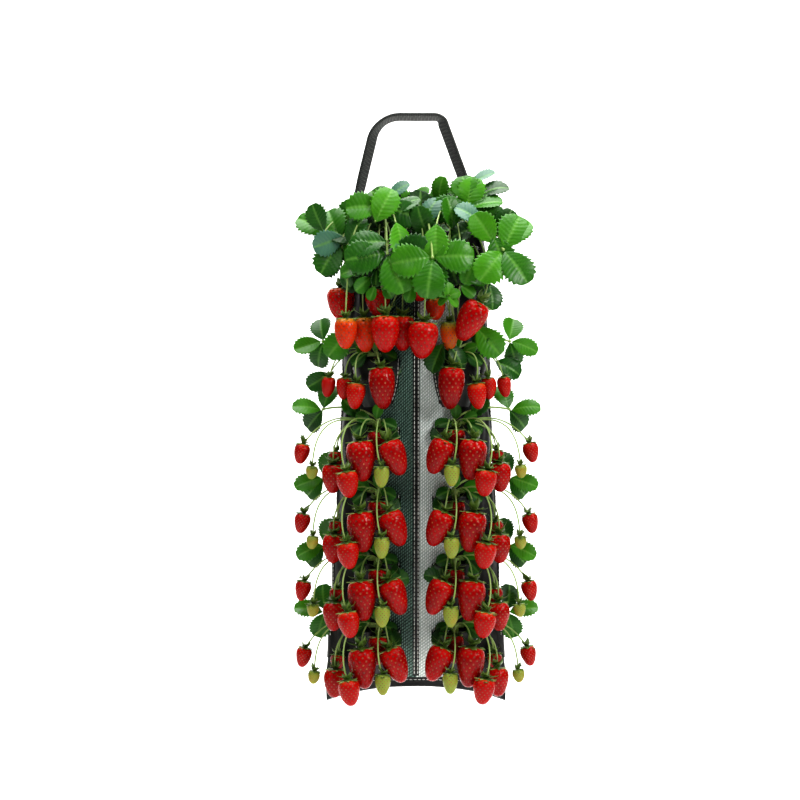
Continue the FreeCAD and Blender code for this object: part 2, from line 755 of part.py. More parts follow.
TOP_LEAVES = (
    (0, (-41, -120, -206), (0.1, -0.1, -1), (0, -1, 0.1), 58, 100, 40, "side"),
    (1, (22, -130, -212), (0.1, -0.1, -1), (0, -1, 0.1), 56, 100, 42, "side"),
    (2, (122, -112, -200), (0.7, -0.2, -0.6), (0.2, -1, 0.3), 56, 95, 14, "side"),
    (0, (-108, -80, -186), (-0.7, -0.2, -0.6), (-0.2, -1, 0.3), 52, 95, 30, "side"),
    (1, (-48, -92, -136), (-0.1, 0.2, 0.97), (0, -0.98, 0.2), 50, 100, 2, "top"),
    (2, (74, -70, -130), (0.1, 0.2, 0.97), (0, -0.98, 0.2), 50, 100, 2, "top"),
    (1, (10, -12, -114), (0, 0.3, 0.95), (0, -0.95, 0.3), 48, 90, 1, "top"),
    (0, (-60, 52, -140), (-0.2, 0.8, 0.4), (0, 0.5, 0.85), 54, 95, 8, "top"),
    (2, (60, 54, -138), (0.2, 0.8, 0.4), (0, 0.5, 0.85), 54, 95, 8, "top"),
    (1, (0, 74, -170), (0, 1, -0.3), (0, 0.3, 0.95), 46, 95, 18, "side"),
)
# Where a leaf's stalk leaves its crown: shares of the crown's height and radius.
CROWN_STARTS = {"side": (0.7, 0.78), "top": (1.0, 0.43)}

petioles, top_blades = [], []
for crown_index, joint_place, heading, facing, length, spread, arch_height, leaves_from in TOP_LEAVES:
    joint = Vector(*joint_place)
    height_share, radius_share = CROWN_STARTS[leaves_from]
    crown = TOP_CROWNS[crown_index] + UP * (size_of("top_crown_height") * height_share)
    away = Vector(joint.x - crown.x, joint.y - crown.y, 0).normalize()
    stand_off = size_of("top_crown_radius") * radius_share + size_of("petiole_radius") + size_of("berry_gap")
    start = crown + away * stand_off
    middle = (start + joint) * 0.5 + UP * arch_height
    petioles.append(petiole(start, middle, joint))
    top_blades.extend(leaf(joint, heading, facing, length, spread))
shape_subpart("top_petioles", petioles)
shape_subpart("top_leaf_blades", top_blades)

# The berries of the mouth's plants: shoulder, length, width, lean to the right, and the crown that bears it

TOP_BERRIES = (
    ((-109, -50, -252), 44, 40, 0, 0),
    ((-100, -111, -298), 42, 32, 0, 0),
    ((-75, -88, -296), 48, 34, 4, 0),
    ((-55, -84, -255), 38, 36, 0, 0),
    ((-44, -114, -295), 50, 40, 0, 0),
    ((-20, -84, -294), 48, 34, 0, 1),
    ((2, -88, -234), 38, 32, 6, 1),
    ((10, -115, -304), 50, 42, -4, 1),
    ((27, -84, -268), 30, 28, 0, 1),
    ((47, -84, -302), 40, 26, 0, 2),
    ((88, -106, -276), 58, 40, -28, 2),
)
STALK_FAN = 17
top_berries, top_stalks = [], []
for place, length, width, lean, crown_index in TOP_BERRIES:
    top = Vector(*place)
    angle = math.radians(lean)
    hang = Vector(math.sin(angle), 0, -math.cos(angle))
    top_berries.append(berry(top, hang, length, width))
    mates = [other for *_, other in TOP_BERRIES].count(crown_index)
    index = sum(1 for other in TOP_BERRIES if other[-1] == crown_index and other[0][0] < top.x)
    fan = math.radians((index - (mates - 1) / 2) * STALK_FAN)
    stand_off = size_of("top_crown_radius") + size_of("stalk_radius")
    crown = TOP_CROWNS[crown_index] + UP * (size_of("top_crown_height") * 0.3)
    start = crown + Vector(math.sin(fan), -math.cos(fan), 0) * stand_off
    end = stalk_end(top, hang)
    over_rim = Vector(start.x + (top.x - start.x) * 0.6, (top.y - size_of("rim_half_depth")) / 2, RIM + 9)
    above_berry = end - hang * 30 + (over_rim - end) * 0.1
    stalk = tube_along((start, over_rim, above_berry, end), size_of("stalk_radius"))
    top_stalks.append(stalk.fuse(calyx(top, hang, width)))
shape_subpart("top_berries", top_berries)
shape_subpart("top_berry_stalks", top_stalks)

# Checks and files

doc.recompute()
for item in doc.Objects:
    if "Invalid" in item.State or "Error" in item.State:
        raise RuntimeError(f"{item.Label} failed: {item.State}")
for piece in subparts:
    if piece.Shape.isNull() or not piece.Shape.isValid() or not piece.Shape.Solids:
        raise RuntimeError(f"{piece.Label} has no valid solid")
os.makedirs("parts", exist_ok=True)
for piece in subparts:
    from_hook = piece.Shape.copy()
    from_hook.translate(Vector(0, -HANG_Y, 0))
    from_hook.exportStep(f"parts/{piece.Label}.step")
    print(piece.Label, len(piece.Shape.Solids), round(piece.Shape.Volume))
print(len(subparts), "nodes")
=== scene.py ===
# %% [markdown]
# # A hanging strawberry grow bag
#
# A tall cloth bag hangs by a strap of webbing. It is full of potting soil, with three strawberry plants in
# its mouth and ten more in black pockets down its front. The measured CAD model gives the bodies, the joints
# and every place; this lesson dresses it with cloth, fruit and leaves.

# %% load the measured model
import json
import math
import random

import bmesh
import bpy
from mathutils import Matrix, Vector, noise


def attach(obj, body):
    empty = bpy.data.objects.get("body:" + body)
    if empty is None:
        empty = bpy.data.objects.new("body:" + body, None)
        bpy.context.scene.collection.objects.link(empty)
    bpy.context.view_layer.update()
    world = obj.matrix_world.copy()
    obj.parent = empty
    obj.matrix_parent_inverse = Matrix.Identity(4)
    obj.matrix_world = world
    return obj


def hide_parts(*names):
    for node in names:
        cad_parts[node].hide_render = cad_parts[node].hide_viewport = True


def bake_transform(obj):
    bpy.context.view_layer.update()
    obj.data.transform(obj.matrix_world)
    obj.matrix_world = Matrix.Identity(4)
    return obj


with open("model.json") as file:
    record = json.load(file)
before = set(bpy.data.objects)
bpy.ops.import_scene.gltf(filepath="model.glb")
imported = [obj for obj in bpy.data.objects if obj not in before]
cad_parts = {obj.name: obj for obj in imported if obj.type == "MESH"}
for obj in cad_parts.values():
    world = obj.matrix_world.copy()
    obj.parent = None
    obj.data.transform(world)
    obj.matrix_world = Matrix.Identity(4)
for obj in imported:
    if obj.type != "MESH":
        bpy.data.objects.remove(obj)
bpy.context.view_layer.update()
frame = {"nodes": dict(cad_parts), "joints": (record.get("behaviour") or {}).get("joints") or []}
MM = 0.001
SIDES = (("left", -1), ("right", 1))
POCKETS = [(name, side, row) for name, side in SIDES for row in range(1, 6)]

# %% [markdown]
# ## Small tools for materials
#
# Colours are written as the hex codes a photo editor shows, so they are turned into linear light first. One
# function adds any kind of node, and one fills a node's sockets: a socket is linked, a number is set.

# %% material tools
def hex_colour(code):
    """A hex sRGB colour as linear red, green, blue and alpha."""
    shares = [int(code[i:i + 2], 16) / 255 for i in (1, 3, 5)]
    return [s / 12.92 if s <= 0.04045 else ((s + 0.055) / 1.055) ** 2.4 for s in shares] + [1.0]


def fill(node, inputs):
    """Links the sockets among the inputs and sets the rest as values."""
    for name, value in inputs.items():
        if isinstance(value, bpy.types.NodeSocket):
            node.id_data.links.new(value, node.inputs[name])
        else:
            node.inputs[name].default_value = value


def add_node(owner, kind, inputs, stops=(), **settings):
    """Adds a node to a material or the world, with its settings, sockets and, on a colour ramp, stops."""
    node = owner.node_tree.nodes.new(kind)
    for name, value in settings.items():
        setattr(node, name, value)
    for index, (place, code) in enumerate(stops):
        elements = node.color_ramp.elements
        stop = elements[index] if index < 2 else elements.new(place)
        stop.position = place
        stop.color = hex_colour(code)
    fill(node, inputs)
    return node


def new_material(name):
    """An empty material and its shader."""
    material = bpy.data.materials.new(name)
    material.use_nodes = True
    return material, material.node_tree.nodes["Principled BSDF"]


# %% [markdown]
# ## Woven cloth
#
# The bag is woven from flat polyethylene tapes in a twill, so its crossings run in slanting rows. Two waves
# multiplied give them: one along the warp and one on the slant. The real tapes are about 1.5 mm wide, too
# fine for a picture of the whole bag, so they are drawn at 2.4 mm, a little unevenly, as thin tapes lie. The
# texture coordinates are metres of cloth. The black cloth is coated, so its weave hardly shows under a smooth
# skin, and the strap's polypropylene webbing is duller and coarser.

# %% woven cloth
# The wave texture repeats after this length at a scale of one.
WAVE_PERIOD = 2 * math.pi / 20
TAPE_PITCH = 2.4 * MM
WEBBING_PITCH = 2.6 * MM
# Worn patches of the weave.
SCUFF = 4.17 * MM


def woven_material(name, pitch, dark, light, rough, bump):
    """Crossing tapes: a raised check in two tones with a dull plastic shine."""
    material, shader = new_material(name)
    uv = add_node(material, "ShaderNodeTexCoord", {}).outputs["UV"]
    scale = WAVE_PERIOD / pitch
    weave = {"Vector": uv, "Scale": scale, "Distortion": 1.4, "Detail": 2.0, "Detail Scale": 1.6}
    warp = add_node(material, "ShaderNodeTexWave", weave, bands_direction="X")
    weft = add_node(material, "ShaderNodeTexWave", weave, bands_direction="DIAGONAL")
    check = add_node(
        material, "ShaderNodeMath", {0: warp.outputs["Fac"], 1: weft.outputs["Fac"]}, operation="MULTIPLY"
    )
    wear = add_node(material, "ShaderNodeTexNoise", {"Vector": uv, "Scale": 1 / SCUFF, "Detail": 3.0})
    tone = add_node(
        material, "ShaderNodeMath", {0: check.outputs[0], 1: wear.outputs["Fac"]}, operation="MULTIPLY"
    )
    paint = add_node(
        material, "ShaderNodeValToRGB", {"Fac": tone.outputs[0]}, stops=((0.02, dark), (0.42, light))
    )
    relief = add_node(
        material, "ShaderNodeBump", {"Height": check.outputs[0], "Strength": bump, "Distance": 0.6 * MM}
    )
    fill(shader, {
        "Base Color": paint.outputs["Color"], "Roughness": rough, "IOR": 1.5, "Specular IOR Level": 0.25,
        "Normal": relief.outputs["Normal"],
    })
    return material


# The dark green and the silver cloth are one cloth: the green copy is painted shade, the silver copy painted
# light.
PAINTED_SHADE_CLOTH = woven_material("woven_cloth_painted_shade", TAPE_PITCH, "#1a3027", "#77968a", 0.42, 0.8)
PAINTED_LIGHT_CLOTH = woven_material("woven_cloth_painted_light", TAPE_PITCH, "#9ba6a0", "#f1f5f3", 0.36, 0.8)
BLACK_CLOTH = woven_material("coated_black_cloth", TAPE_PITCH, "#070807", "#141613", 0.36, 0.2)
WEBBING = woven_material("polypropylene_webbing", WEBBING_PITCH, "#131413", "#3a3d39", 0.55, 0.6)
print(f"tapes {TAPE_PITCH / MM:.1f} mm apart, webbing {WEBBING_PITCH / MM:.1f} mm")

# %% [markdown]
# ## Thread and soil
#
# The seams are sewn with white polyester thread, whose twist gives it light and dark spots about 1 mm long.
# Seeds and paper are grained in the same way, so one function makes all three. The soil is peat with lighter
# crumbs of bark in it: soft and dull, with a rough surface.

# %% thread and soil
def grained_material(name, grain, tones, rough, ior):
    """A material of fine grains in two tones; the grains' size is in millimetres."""
    material, shader = new_material(name)
    coords = add_node(material, "ShaderNodeTexCoord", {}).outputs["Object"]
    grains = add_node(material, "ShaderNodeTexNoise", {"Vector": coords, "Scale": 1 / (grain * MM)})
    paint = add_node(material, "ShaderNodeValToRGB", {"Fac": grains.outputs["Fac"]}, stops=tones)
    fill(shader, {"Base Color": paint.outputs["Color"], "Roughness": rough, "IOR": ior})
    return material


THREAD = grained_material("polyester_thread", 1.11, ((0.3, "#b9bdb4"), (0.7, "#f2f3ee")), 0.6, 1.53)

BARK_CRUMB = 3.85 * MM
PEAT_CLUMP = 11.1 * MM
SOIL, shader = new_material("peat_potting_soil")
coords = add_node(SOIL, "ShaderNodeTexCoord", {}).outputs["Object"]
crumbs = add_node(SOIL, "ShaderNodeTexVoronoi", {"Vector": coords, "Scale": 1 / BARK_CRUMB})
peat = add_node(SOIL, "ShaderNodeTexNoise", {"Vector": coords, "Scale": 1 / PEAT_CLUMP, "Detail": 6.0})
paint = add_node(
    SOIL, "ShaderNodeValToRGB", {"Fac": peat.outputs["Fac"]},
    stops=((0.35, "#17100b"), (0.6, "#35261a"), (0.72, "#6b5236")),
)
relief = add_node(
    SOIL, "ShaderNodeBump", {"Height": crumbs.outputs["Distance"], "Strength": 0.9, "Distance": 2 * MM}
)
fill(shader, {
    "Base Color": paint.outputs["Color"], "Roughness": 0.95, "IOR": 1.4, "Normal": relief.outputs["Normal"],
})

# %% [markdown]
# ## Ripening skin
#
# A strawberry's skin is glossy and lets a little light in, so red light spreads under it. How ripe each berry
# is sits in an attribute of its mesh, from green through orange to deep red, and soft blotches shift it.
# Fine pores break up the shine. The seeds are dry and duller.

# %% berries
BLOTCH = 14.3 * MM
SKIN_PORE = 2.38 * MM
BERRY_SKIN, shader = new_material("ripening_strawberry_skin")
ripe = add_node(BERRY_SKIN, "ShaderNodeAttribute", {}, attribute_name="ripeness")
coords = add_node(BERRY_SKIN, "ShaderNodeTexCoord", {}).outputs["Object"]
blotch = add_node(BERRY_SKIN, "ShaderNodeTexNoise", {"Vector": coords, "Scale": 1 / BLOTCH, "Detail": 2.0})
shift = add_node(
    BERRY_SKIN, "ShaderNodeMath", {0: blotch.outputs["Fac"], 1: 0.16, 2: ripe.outputs["Fac"]},
    operation="MULTIPLY_ADD",
)
paint = add_node(
    BERRY_SKIN, "ShaderNodeValToRGB", {"Fac": shift.outputs[0]},
    stops=(
        (0.14, "#7d8c38"), (0.32, "#a2761f"), (0.46, "#bc430d"),
        (0.66, "#ab0c03"), (0.86, "#960202"), (1.0, "#6c0203"),
    ),
)
pores = add_node(BERRY_SKIN, "ShaderNodeTexNoise", {"Vector": coords, "Scale": 1 / SKIN_PORE, "Detail": 2.0})
relief = add_node(
    BERRY_SKIN, "ShaderNodeBump", {"Height": pores.outputs["Fac"], "Strength": 0.3, "Distance": 0.4 * MM}
)
fill(shader, {
    "Base Color": paint.outputs["Color"], "Roughness": 0.2, "IOR": 1.36, "Specular IOR Level": 0.24,
    "Subsurface Weight": 0.03, "Subsurface Radius": (0.004, 0.001, 0.0006),
    "Normal": relief.outputs["Normal"],
})

SEED = grained_material("strawberry_seed", 8.33, ((0.35, "#5e0f05"), (0.65, "#93481c")), 0.4, 1.45)

# %% [markdown]
# ## Leaves and stalks
#
# Leaves differ in green from one to the next and in patches, with paler veins. A leaf's tint and its veins
# sit in attributes of its mesh. A little light goes into it and spreads, which makes it look soft. Calyxes,
# stalks and crowns are the same tissue in other tones.

# %% leaf tissue
LEAF_PATCH = 26.3 * MM
LEAF_GRAIN = 1.43 * MM


def leaf_material(name, tones, vein_tone):
    """Greens that differ from leaf to leaf and in patches, paler along the veins."""
    material, shader = new_material(name)
    coords = add_node(material, "ShaderNodeTexCoord", {}).outputs["Object"]
    vein = add_node(material, "ShaderNodeAttribute", {}, attribute_name="vein")
    tint = add_node(material, "ShaderNodeAttribute", {}, attribute_name="tint")
    patch = add_node(
        material, "ShaderNodeTexNoise", {"Vector": coords, "Scale": 1 / LEAF_PATCH, "Detail": 3.0}
    )
    shift = add_node(
        material, "ShaderNodeMath", {0: patch.outputs["Fac"], 1: 0.3, 2: tint.outputs["Fac"]},
        operation="MULTIPLY_ADD",
    )
    tone = add_node(material, "ShaderNodeValToRGB", {"Fac": shift.outputs[0]}, stops=tones)
    # Sockets 0, 6 and 7 of a colour mix are its share and its two colours.
    veined = add_node(
        material, "ShaderNodeMix",
        {0: vein.outputs["Fac"], 6: tone.outputs["Color"], 7: hex_colour(vein_tone)}, data_type="RGBA",
    )
    grain = add_node(material, "ShaderNodeTexNoise", {"Vector": coords, "Scale": 1 / LEAF_GRAIN})
    relief = add_node(
        material, "ShaderNodeBump", {"Height": grain.outputs["Fac"], "Strength": 0.25, "Distance": 0.3 * MM}
    )
    fill(shader, {
        "Base Color": veined.outputs[2], "Roughness": 0.34, "IOR": 1.45, "Specular IOR Level": 0.3,
        "Subsurface Weight": 0.1, "Subsurface Radius": (0.001, 0.003, 0.0006),
        "Normal": relief.outputs["Normal"],
    })
    return material


# The top stop's pale blue-green is partly the leaves' own blue-green and partly painted sky sheen on leaves
# seen edge-on.
LEAF = leaf_material(
    "strawberry_leaf",
    ((0.15, "#08200a"), (0.45, "#184a0b"), (0.72, "#2a6308"), (0.95, "#43830f"), (1.0, "#426a55")),
    "#6fa246",
)
CALYX = leaf_material("strawberry_calyx", ((0.05, "#203d0f"), (0.3, "#516c22")), "#8a9c50")
STALK = leaf_material("strawberry_stalk", ((0.05, "#6c8c3c"), (0.3, "#a6b778")), "#c5d09c")
CROWN = leaf_material("strawberry_crown", ((0.05, "#4a3a20"), (0.3, "#6f6a34")), "#8d8a4a")
print(len(bpy.data.materials), "materials")

# %% [markdown]
# ## Tools for shapes
#
# Cloth, leaves and straps all begin as a flat grid, which is how cloth is cut. A function then says where
# each corner of the grid goes. Its texture coordinates stay in metres of flat cloth, so a weave keeps its
# size. Finished meshes are put at the origin and ride on a CAD body.

# %% shape tools
def mapped_grid(bm, columns, rows, size, place):
    """Adds a grid, flat in metres, and carries each corner to its place; returns corners with u and v."""
    uv = bm.loops.layers.uv.verify()
    corners = bmesh.ops.create_grid(bm, x_segments=columns, y_segments=rows, size=0.5)["verts"]
    flat = [(v, v.co.x + 0.5, v.co.y + 0.5) for v in corners]
    for face in {f for v in corners for f in v.link_faces}:
        for loop in face.loops:
            loop[uv].uv = ((loop.vert.co.x + 0.5) * size[0], (loop.vert.co.y + 0.5) * size[1])
    for v, across, along in flat:
        v.co = place(across, along)
    return flat


def finish_piece(name, bm, body, materials, nodes=(), thickness=0):
    """Turns a mesh into a piece on a body, in place of some CAD nodes, and prints its faces."""
    bmesh.ops.remove_doubles(bm, verts=bm.verts, dist=0.02 * MM)
    bmesh.ops.recalc_face_normals(bm, faces=bm.faces)
    mesh = bpy.data.meshes.new(name)
    bm.to_mesh(mesh)
    bm.free()
    for material in materials:
        mesh.materials.append(material)
    mesh.shade_smooth()
    piece = bpy.data.objects.new(name, mesh)
    bpy.context.scene.collection.objects.link(piece)
    if thickness:
        wall = piece.modifiers.new("cloth_thickness", "SOLIDIFY")
        wall.thickness = thickness
        wall.offset = -1
    if body:
        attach(piece, body)
    if nodes:
        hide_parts(*nodes)
    print(f"{name}: {len(mesh.polygons)} faces")
    return piece


# %% [markdown]
# ## The bag
#
# The bag is a tube of cloth, round at the mouth and flat at the foot, swollen by soil. Its outline is read
# from the photo as seven sections; a smooth curve runs through them. The soil pushes the cloth out between
# the pockets, and the weight pulls long upright folds. The front seam stands a little proud, so light from
# the right catches only one side of it. The front panel is one woven cloth in two copies: dark green on the
# left of the seam, which is painted shade, and silver on its right, which is painted light. The sides and
# back are black.

# %% the bag's outside
BAG_Y = 14 * MM
RIM_Z = -170 * MM
# Drop below the rim, half width and half depth, in millimetres, as are the values below.
SECTIONS = (
    (0, 92, 66), (75, 102, 68), (260, 108, 63), (420, 116, 53), (540, 124, 38), (620, 130, 20), (648, 133, 5),
)
FOOT_DROP = SECTIONS[-1][0]
FOOT_HALF = SECTIONS[-1][1]
# The weave's map round the bag is a tenth wider than the cloth, so the upright tapes look finer.
WEAVE_GIRTH = 620
POCKET_PITCH = 98
POCKET_DROPS = [182 + POCKET_PITCH * row for row in range(5)]
PANEL_HALF = 54
SEAM_RIDGE = 10
RIDGE_REACH = 26


def half_size(drop, column):
    """Half the bag's width or depth at a drop: a smooth curve through the sections."""
    last = len(SECTIONS) - 1
    drop = min(max(drop, 0), FOOT_DROP)
    here = max(k for k in range(last) if SECTIONS[k][0] <= drop)

    def slope(k):
        before, after = SECTIONS[max(k - 1, 0)], SECTIONS[min(k + 1, last)]
        return (after[column] - before[column]) / (after[0] - before[0])

    span = SECTIONS[here + 1][0] - SECTIONS[here][0]
    t = (drop - SECTIONS[here][0]) / span
    rise = (1 - t) ** 2 * ((1 + 2 * t) * SECTIONS[here][column] + t * span * slope(here))
    return rise + t * t * ((3 - 2 * t) * SECTIONS[here + 1][column] + (t - 1) * span * slope(here + 1))


def folds(angle, drop):
    """How far the cloth stands off the plain sections, in millimetres; less at the rim and the foot."""
    x = half_size(drop, 1) * math.cos(angle)
    calm = min(1, half_size(drop, 2) / 40) * min(1, max(drop, 0) / 60)
    ridge = SEAM_RIDGE * math.exp(-abs(x) / RIDGE_REACH) if math.sin(angle) > 0 else 0
    ring = Vector((math.cos(angle), math.sin(angle), 0))
    pulls = 2.6 * noise.noise(ring * 5 + Vector((0, 0, drop * 0.011)))
    creases = 0.9 * noise.noise(ring * 11 + Vector((0, 0, drop * 0.045)))
    sag = 1.2 * math.cos(2 * math.pi * (drop - POCKET_DROPS[0]) / POCKET_PITCH)
    return (ridge + pulls + creases + sag) * calm


def cloth_point(angle, drop, lift=0.0):
    """A point of the cloth's outer face: angle from the right side over the front, drop and lift in mm."""
    wide, deep = half_size(drop, 1), half_size(drop, 2)
    out = Vector((math.cos(angle) / wide, -math.sin(angle) / deep, 0)).normalized()
    place = Vector((wide * math.cos(angle), -deep * math.sin(angle), -drop))
    return Vector((0, BAG_Y, RIM_Z)) + (place + out * (folds(angle, drop) + lift)) * MM


def front_angle(x, drop):
    """The angle of the front's point at a distance from the middle, in millimetres."""
    return math.acos(max(-1, min(1, x / half_size(drop, 1))))


bag = bmesh.new()
mapped_grid(
    bag, 200, 130, (WEAVE_GIRTH * MM, FOOT_DROP * MM),
    lambda u, v: cloth_point(2 * math.pi * u - math.pi / 2, FOOT_DROP * (1 - v)),
)
# The front panel left of the seam gets the cloth with painted shade, the right half the cloth with painted
# light.
for face in bag.faces:
    middle = face.calc_center_median()
    on_panel = middle.y < BAG_Y and abs(middle.x) < PANEL_HALF * MM
    face.material_index = (1 if middle.x > 0 else 0) if on_panel else 2
cloths = [PAINTED_SHADE_CLOTH, PAINTED_LIGHT_CLOTH, BLACK_CLOTH]
finish_piece("bag_cloth", bag, "bag", cloths, ["bag_body"], thickness=1.2 * MM)

# %% [markdown]
# ## Hem, bindings and seams
#
# The mouth is turned over and sewn down, and black tape binds both sides. These strips follow the bag's face
# at a small lift. The hem's grid goes up the outside, over the rim and down the inside, as the fold does.

# %% hem and bindings
HEM_HEIGHT = 25
# Shares of the hem's grid: each of its two sides, and the fold over the rim.
HEM_SIDE = 0.46
HEM_FOLD = 0.08
BINDING_HALF = 9
BINDING_END = 620


def hem_place(u, v):
    """Outside up to the rim for the first share of v, then over it and down inside."""
    angle = 2 * math.pi * u - math.pi / 2
    if v < HEM_SIDE:
        pucker = 0.5 * math.sin(40 * angle) * (HEM_SIDE - v)
        return cloth_point(angle, -HEM_HEIGHT * (v - HEM_SIDE) / HEM_SIDE, 1.6 + pucker)
    if v > HEM_SIDE + HEM_FOLD:
        return cloth_point(angle, HEM_HEIGHT * (v - HEM_SIDE - HEM_FOLD) / HEM_SIDE, -2.0)
    turn = (v - 0.5) * 2 / HEM_FOLD
    over = Vector((0, 0, 1.6 * MM * math.cos(turn * math.pi / 2)))
    return cloth_point(angle, 0, -0.2 - 1.8 * turn) + over


hem = bmesh.new()
mapped_grid(hem, 180, 24, (0.5, 0.05), hem_place)
finish_piece("mouth_hem", hem, "bag", [BLACK_CLOTH], ["top_hem"])

for name, side in SIDES:
    strip = bmesh.new()

    def binding_place(u, v, side=side):
        across = 2 * u - 1
        drop = HEM_HEIGHT + (BINDING_END - HEM_HEIGHT) * (1 - v)
        spread = across * BINDING_HALF / half_size(drop, 2)
        angle = spread if side > 0 else math.pi - spread
        return cloth_point(angle, drop, 1.3 * (1 - across ** 6) + 0.3)

    mapped_grid(strip, 10, 120, (2 * BINDING_HALF * MM, 0.6), binding_place)
    finish_piece(
        f"side_binding_cloth_{name}", strip, "bag", [BLACK_CLOTH], [f"side_binding_{name}"],
    )

# %% [markdown]
# A black tape covers the front's centre seam, held by two rows of white thread. Stitches repeat hundreds of
# times, so each is only a short pair of six-sided cones, laid along its seam.

# %% seam tape and stitches
TAPE_HALF = 4.5
TAPE_LENGTH = 621
SEAM_TOP = 30
SEAM_LENGTH = 614
SEAM_ROWS = (-2.6, 2.6)
HEM_ROWS = (19, 22)
MOUTH_RADIUS = 80
BINDING_ROWS = (-6.5, 6.5)
BINDING_SEAM = 560


def add_stitch(bm, start, end, radius):
    """One stitch from a point to another: a rod with narrow ends."""
    middle, along = (start + end) / 2, end - start
    turn = along.to_track_quat("Z", "Y").to_matrix().to_4x4()
    for sign in (-1, 1):
        spot = Matrix.Translation(middle + along * (sign * 0.25)) @ turn
        bmesh.ops.create_cone(
            bm, cap_ends=True, segments=6, radius1=radius * (0.55 if sign < 0 else 1),
            radius2=radius * (1 if sign < 0 else 0.55), depth=along.length / 2, matrix=spot,
        )


def sew(bm, point_at, length, stitch=4.6, gap=1.6, radius=0.55):
    """Stitches along a line; point_at gives the point at a distance along it, in millimetres."""
    count = int(length / (stitch + gap))
    for k in range(count):
        start = k * (stitch + gap)
        add_stitch(bm, point_at(start), point_at(start + stitch), radius * MM)
    return count


def tape_place(u, v):
    """The tape from the foot up to the hem, low along its middle and at its edges."""
    across = 2 * u - 1
    drop = HEM_HEIGHT + TAPE_LENGTH * (1 - v)
    lift = 0.5 + 1.4 * abs(across) ** 0.5 * (1 - abs(across) ** 8)
    return cloth_point(front_angle(across * TAPE_HALF, drop), drop, lift)


tape = bmesh.new()
mapped_grid(tape, 8, 130, (2 * TAPE_HALF * MM, 0.6), tape_place)
finish_piece("centre_seam_cloth", tape, "bag", [BLACK_CLOTH], ["centre_seam_tape"])

stitches = bmesh.new()
made = 0
for x in SEAM_ROWS:
    made += sew(
        stitches, lambda d: cloth_point(front_angle(x, SEAM_TOP + d), SEAM_TOP + d, 1.9), SEAM_LENGTH,
        radius=0.75,
    )
for drop in HEM_ROWS:
    made += sew(stitches, lambda d: cloth_point(d / MOUTH_RADIUS, drop, 2.3), MOUTH_RADIUS * 2 * math.pi)
for middle in (math.pi, 0):
    for edge in BINDING_ROWS:
        made += sew(
            stitches, lambda d: cloth_point(middle + edge / half_size(SEAM_TOP + d, 2), SEAM_TOP + d, 1.7),
            BINDING_SEAM,
        )
finish_piece("seam_stitches", stitches, "bag", [THREAD])
print(made, "stitches")

# %% [markdown]
# The foot is sewn flat, with its corners lower than its middle, as the photo shows.

# %% foot seam
FOOT_SEAM = 255
FOOT_OVERLAP = 3
FOOT_MIDDLE = 15
FOOT_CORNER = 36


def foot_place(u, v):
    """A flat double cloth below the foot; v runs round it, front face first, then the back."""
    face = -1 if v < 0.5 else 1
    share = 1 - abs(2 * v - 1)
    wave = 1.5 * math.sin(9 * u) + 0.7 * math.sin(23 * u + 1)
    low = FOOT_MIDDLE + (FOOT_CORNER - FOOT_MIDDLE) * abs(2 * u - 1) ** 2.2
    half = FOOT_HALF - 1.5 * share
    y = face * (1.5 + 3.2 * (1 - share) ** 2) + wave * share
    drop = FOOT_DROP - FOOT_OVERLAP + (low + FOOT_OVERLAP) * share
    return Vector(((2 * u - 1) * half * MM, BAG_Y + y * MM, RIM_Z - drop * MM))


foot = bmesh.new()
mapped_grid(foot, 80, 24, (0.27, 0.08), foot_place)
finish_piece("foot_seam_cloth", foot, "bag", [BLACK_CLOTH], ["bottom_seam"])

foot_thread = bmesh.new()
in_front = Vector((0, -0.4 * MM, 0))
sew(foot_thread, lambda d: foot_place(0.02 + 0.96 * d / FOOT_SEAM, 0.2) + in_front, FOOT_SEAM)
finish_piece("foot_stitches", foot_thread, "bag", [THREAD])

# %% [markdown]
# ## Pockets
#
# Each pocket is a pouch of coated black cloth, sewn round its sides and open at the top. A plain ball would
# look stiff; cloth hangs full at the mouth and flat at the end, with pleats drawn in by the seam. The first
# rows of the grid turn the lip inward, as a real hem does.

# %% pockets
POCKET_X = 56
POCKET_HALF = 34
POCKET_HEIGHT = 70
POCKET_FULLNESS = 15
# The lip's share of a pocket's grid, how deep it turns in, and the grid's length in millimetres of cloth.
LIP = 0.14
LIP_DEPTH = 9
POCKET_CLOTH = 82
POCKET_SEAM = 66


def pocket_place(side, row, u, v):
    """A pocket's cloth: v runs from inside the lip, over it and down to the pocket's end."""
    across = 2 * u - 1
    inside = max(0, (LIP - v) / LIP)
    down = max(0, (v - LIP) / (1 - LIP))
    drop = POCKET_DROPS[row - 1] + POCKET_HEIGHT * down + LIP_DEPTH * inside
    half = POCKET_HALF * (1 - 0.35 * down ** 3) - 3 * down
    fullness = POCKET_FULLNESS * (1 - down) ** 0.8 + 3.2 + 4 * math.sin(math.pi * down)
    round_off = (1 - across * across) ** 0.6
    pleats = 0.9 * math.sin(11 * across + row) * (1 - across * across) * (1 - down)
    crumple = 1.6 * noise.noise(Vector((across * 2.2, down * 3.1, 7.0 * row + side)))
    lift = 0.8 + (fullness + pleats + crumple) * round_off * (1 - 0.12 * inside) - 1.4 * inside * round_off
    x = side * POCKET_X + across * half
    return cloth_point(front_angle(x, drop), drop, lift)


for name, side, row in POCKETS:
    pouch = bmesh.new()
    mapped_grid(pouch, 32, 26, (0.09, 0.08), lambda u, v: pocket_place(side, row, u, v))
    finish_piece(
        f"pocket_cloth_{name}_{row}", pouch, "bag", [BLACK_CLOTH], [f"pocket_{name}_{row}"],
    )

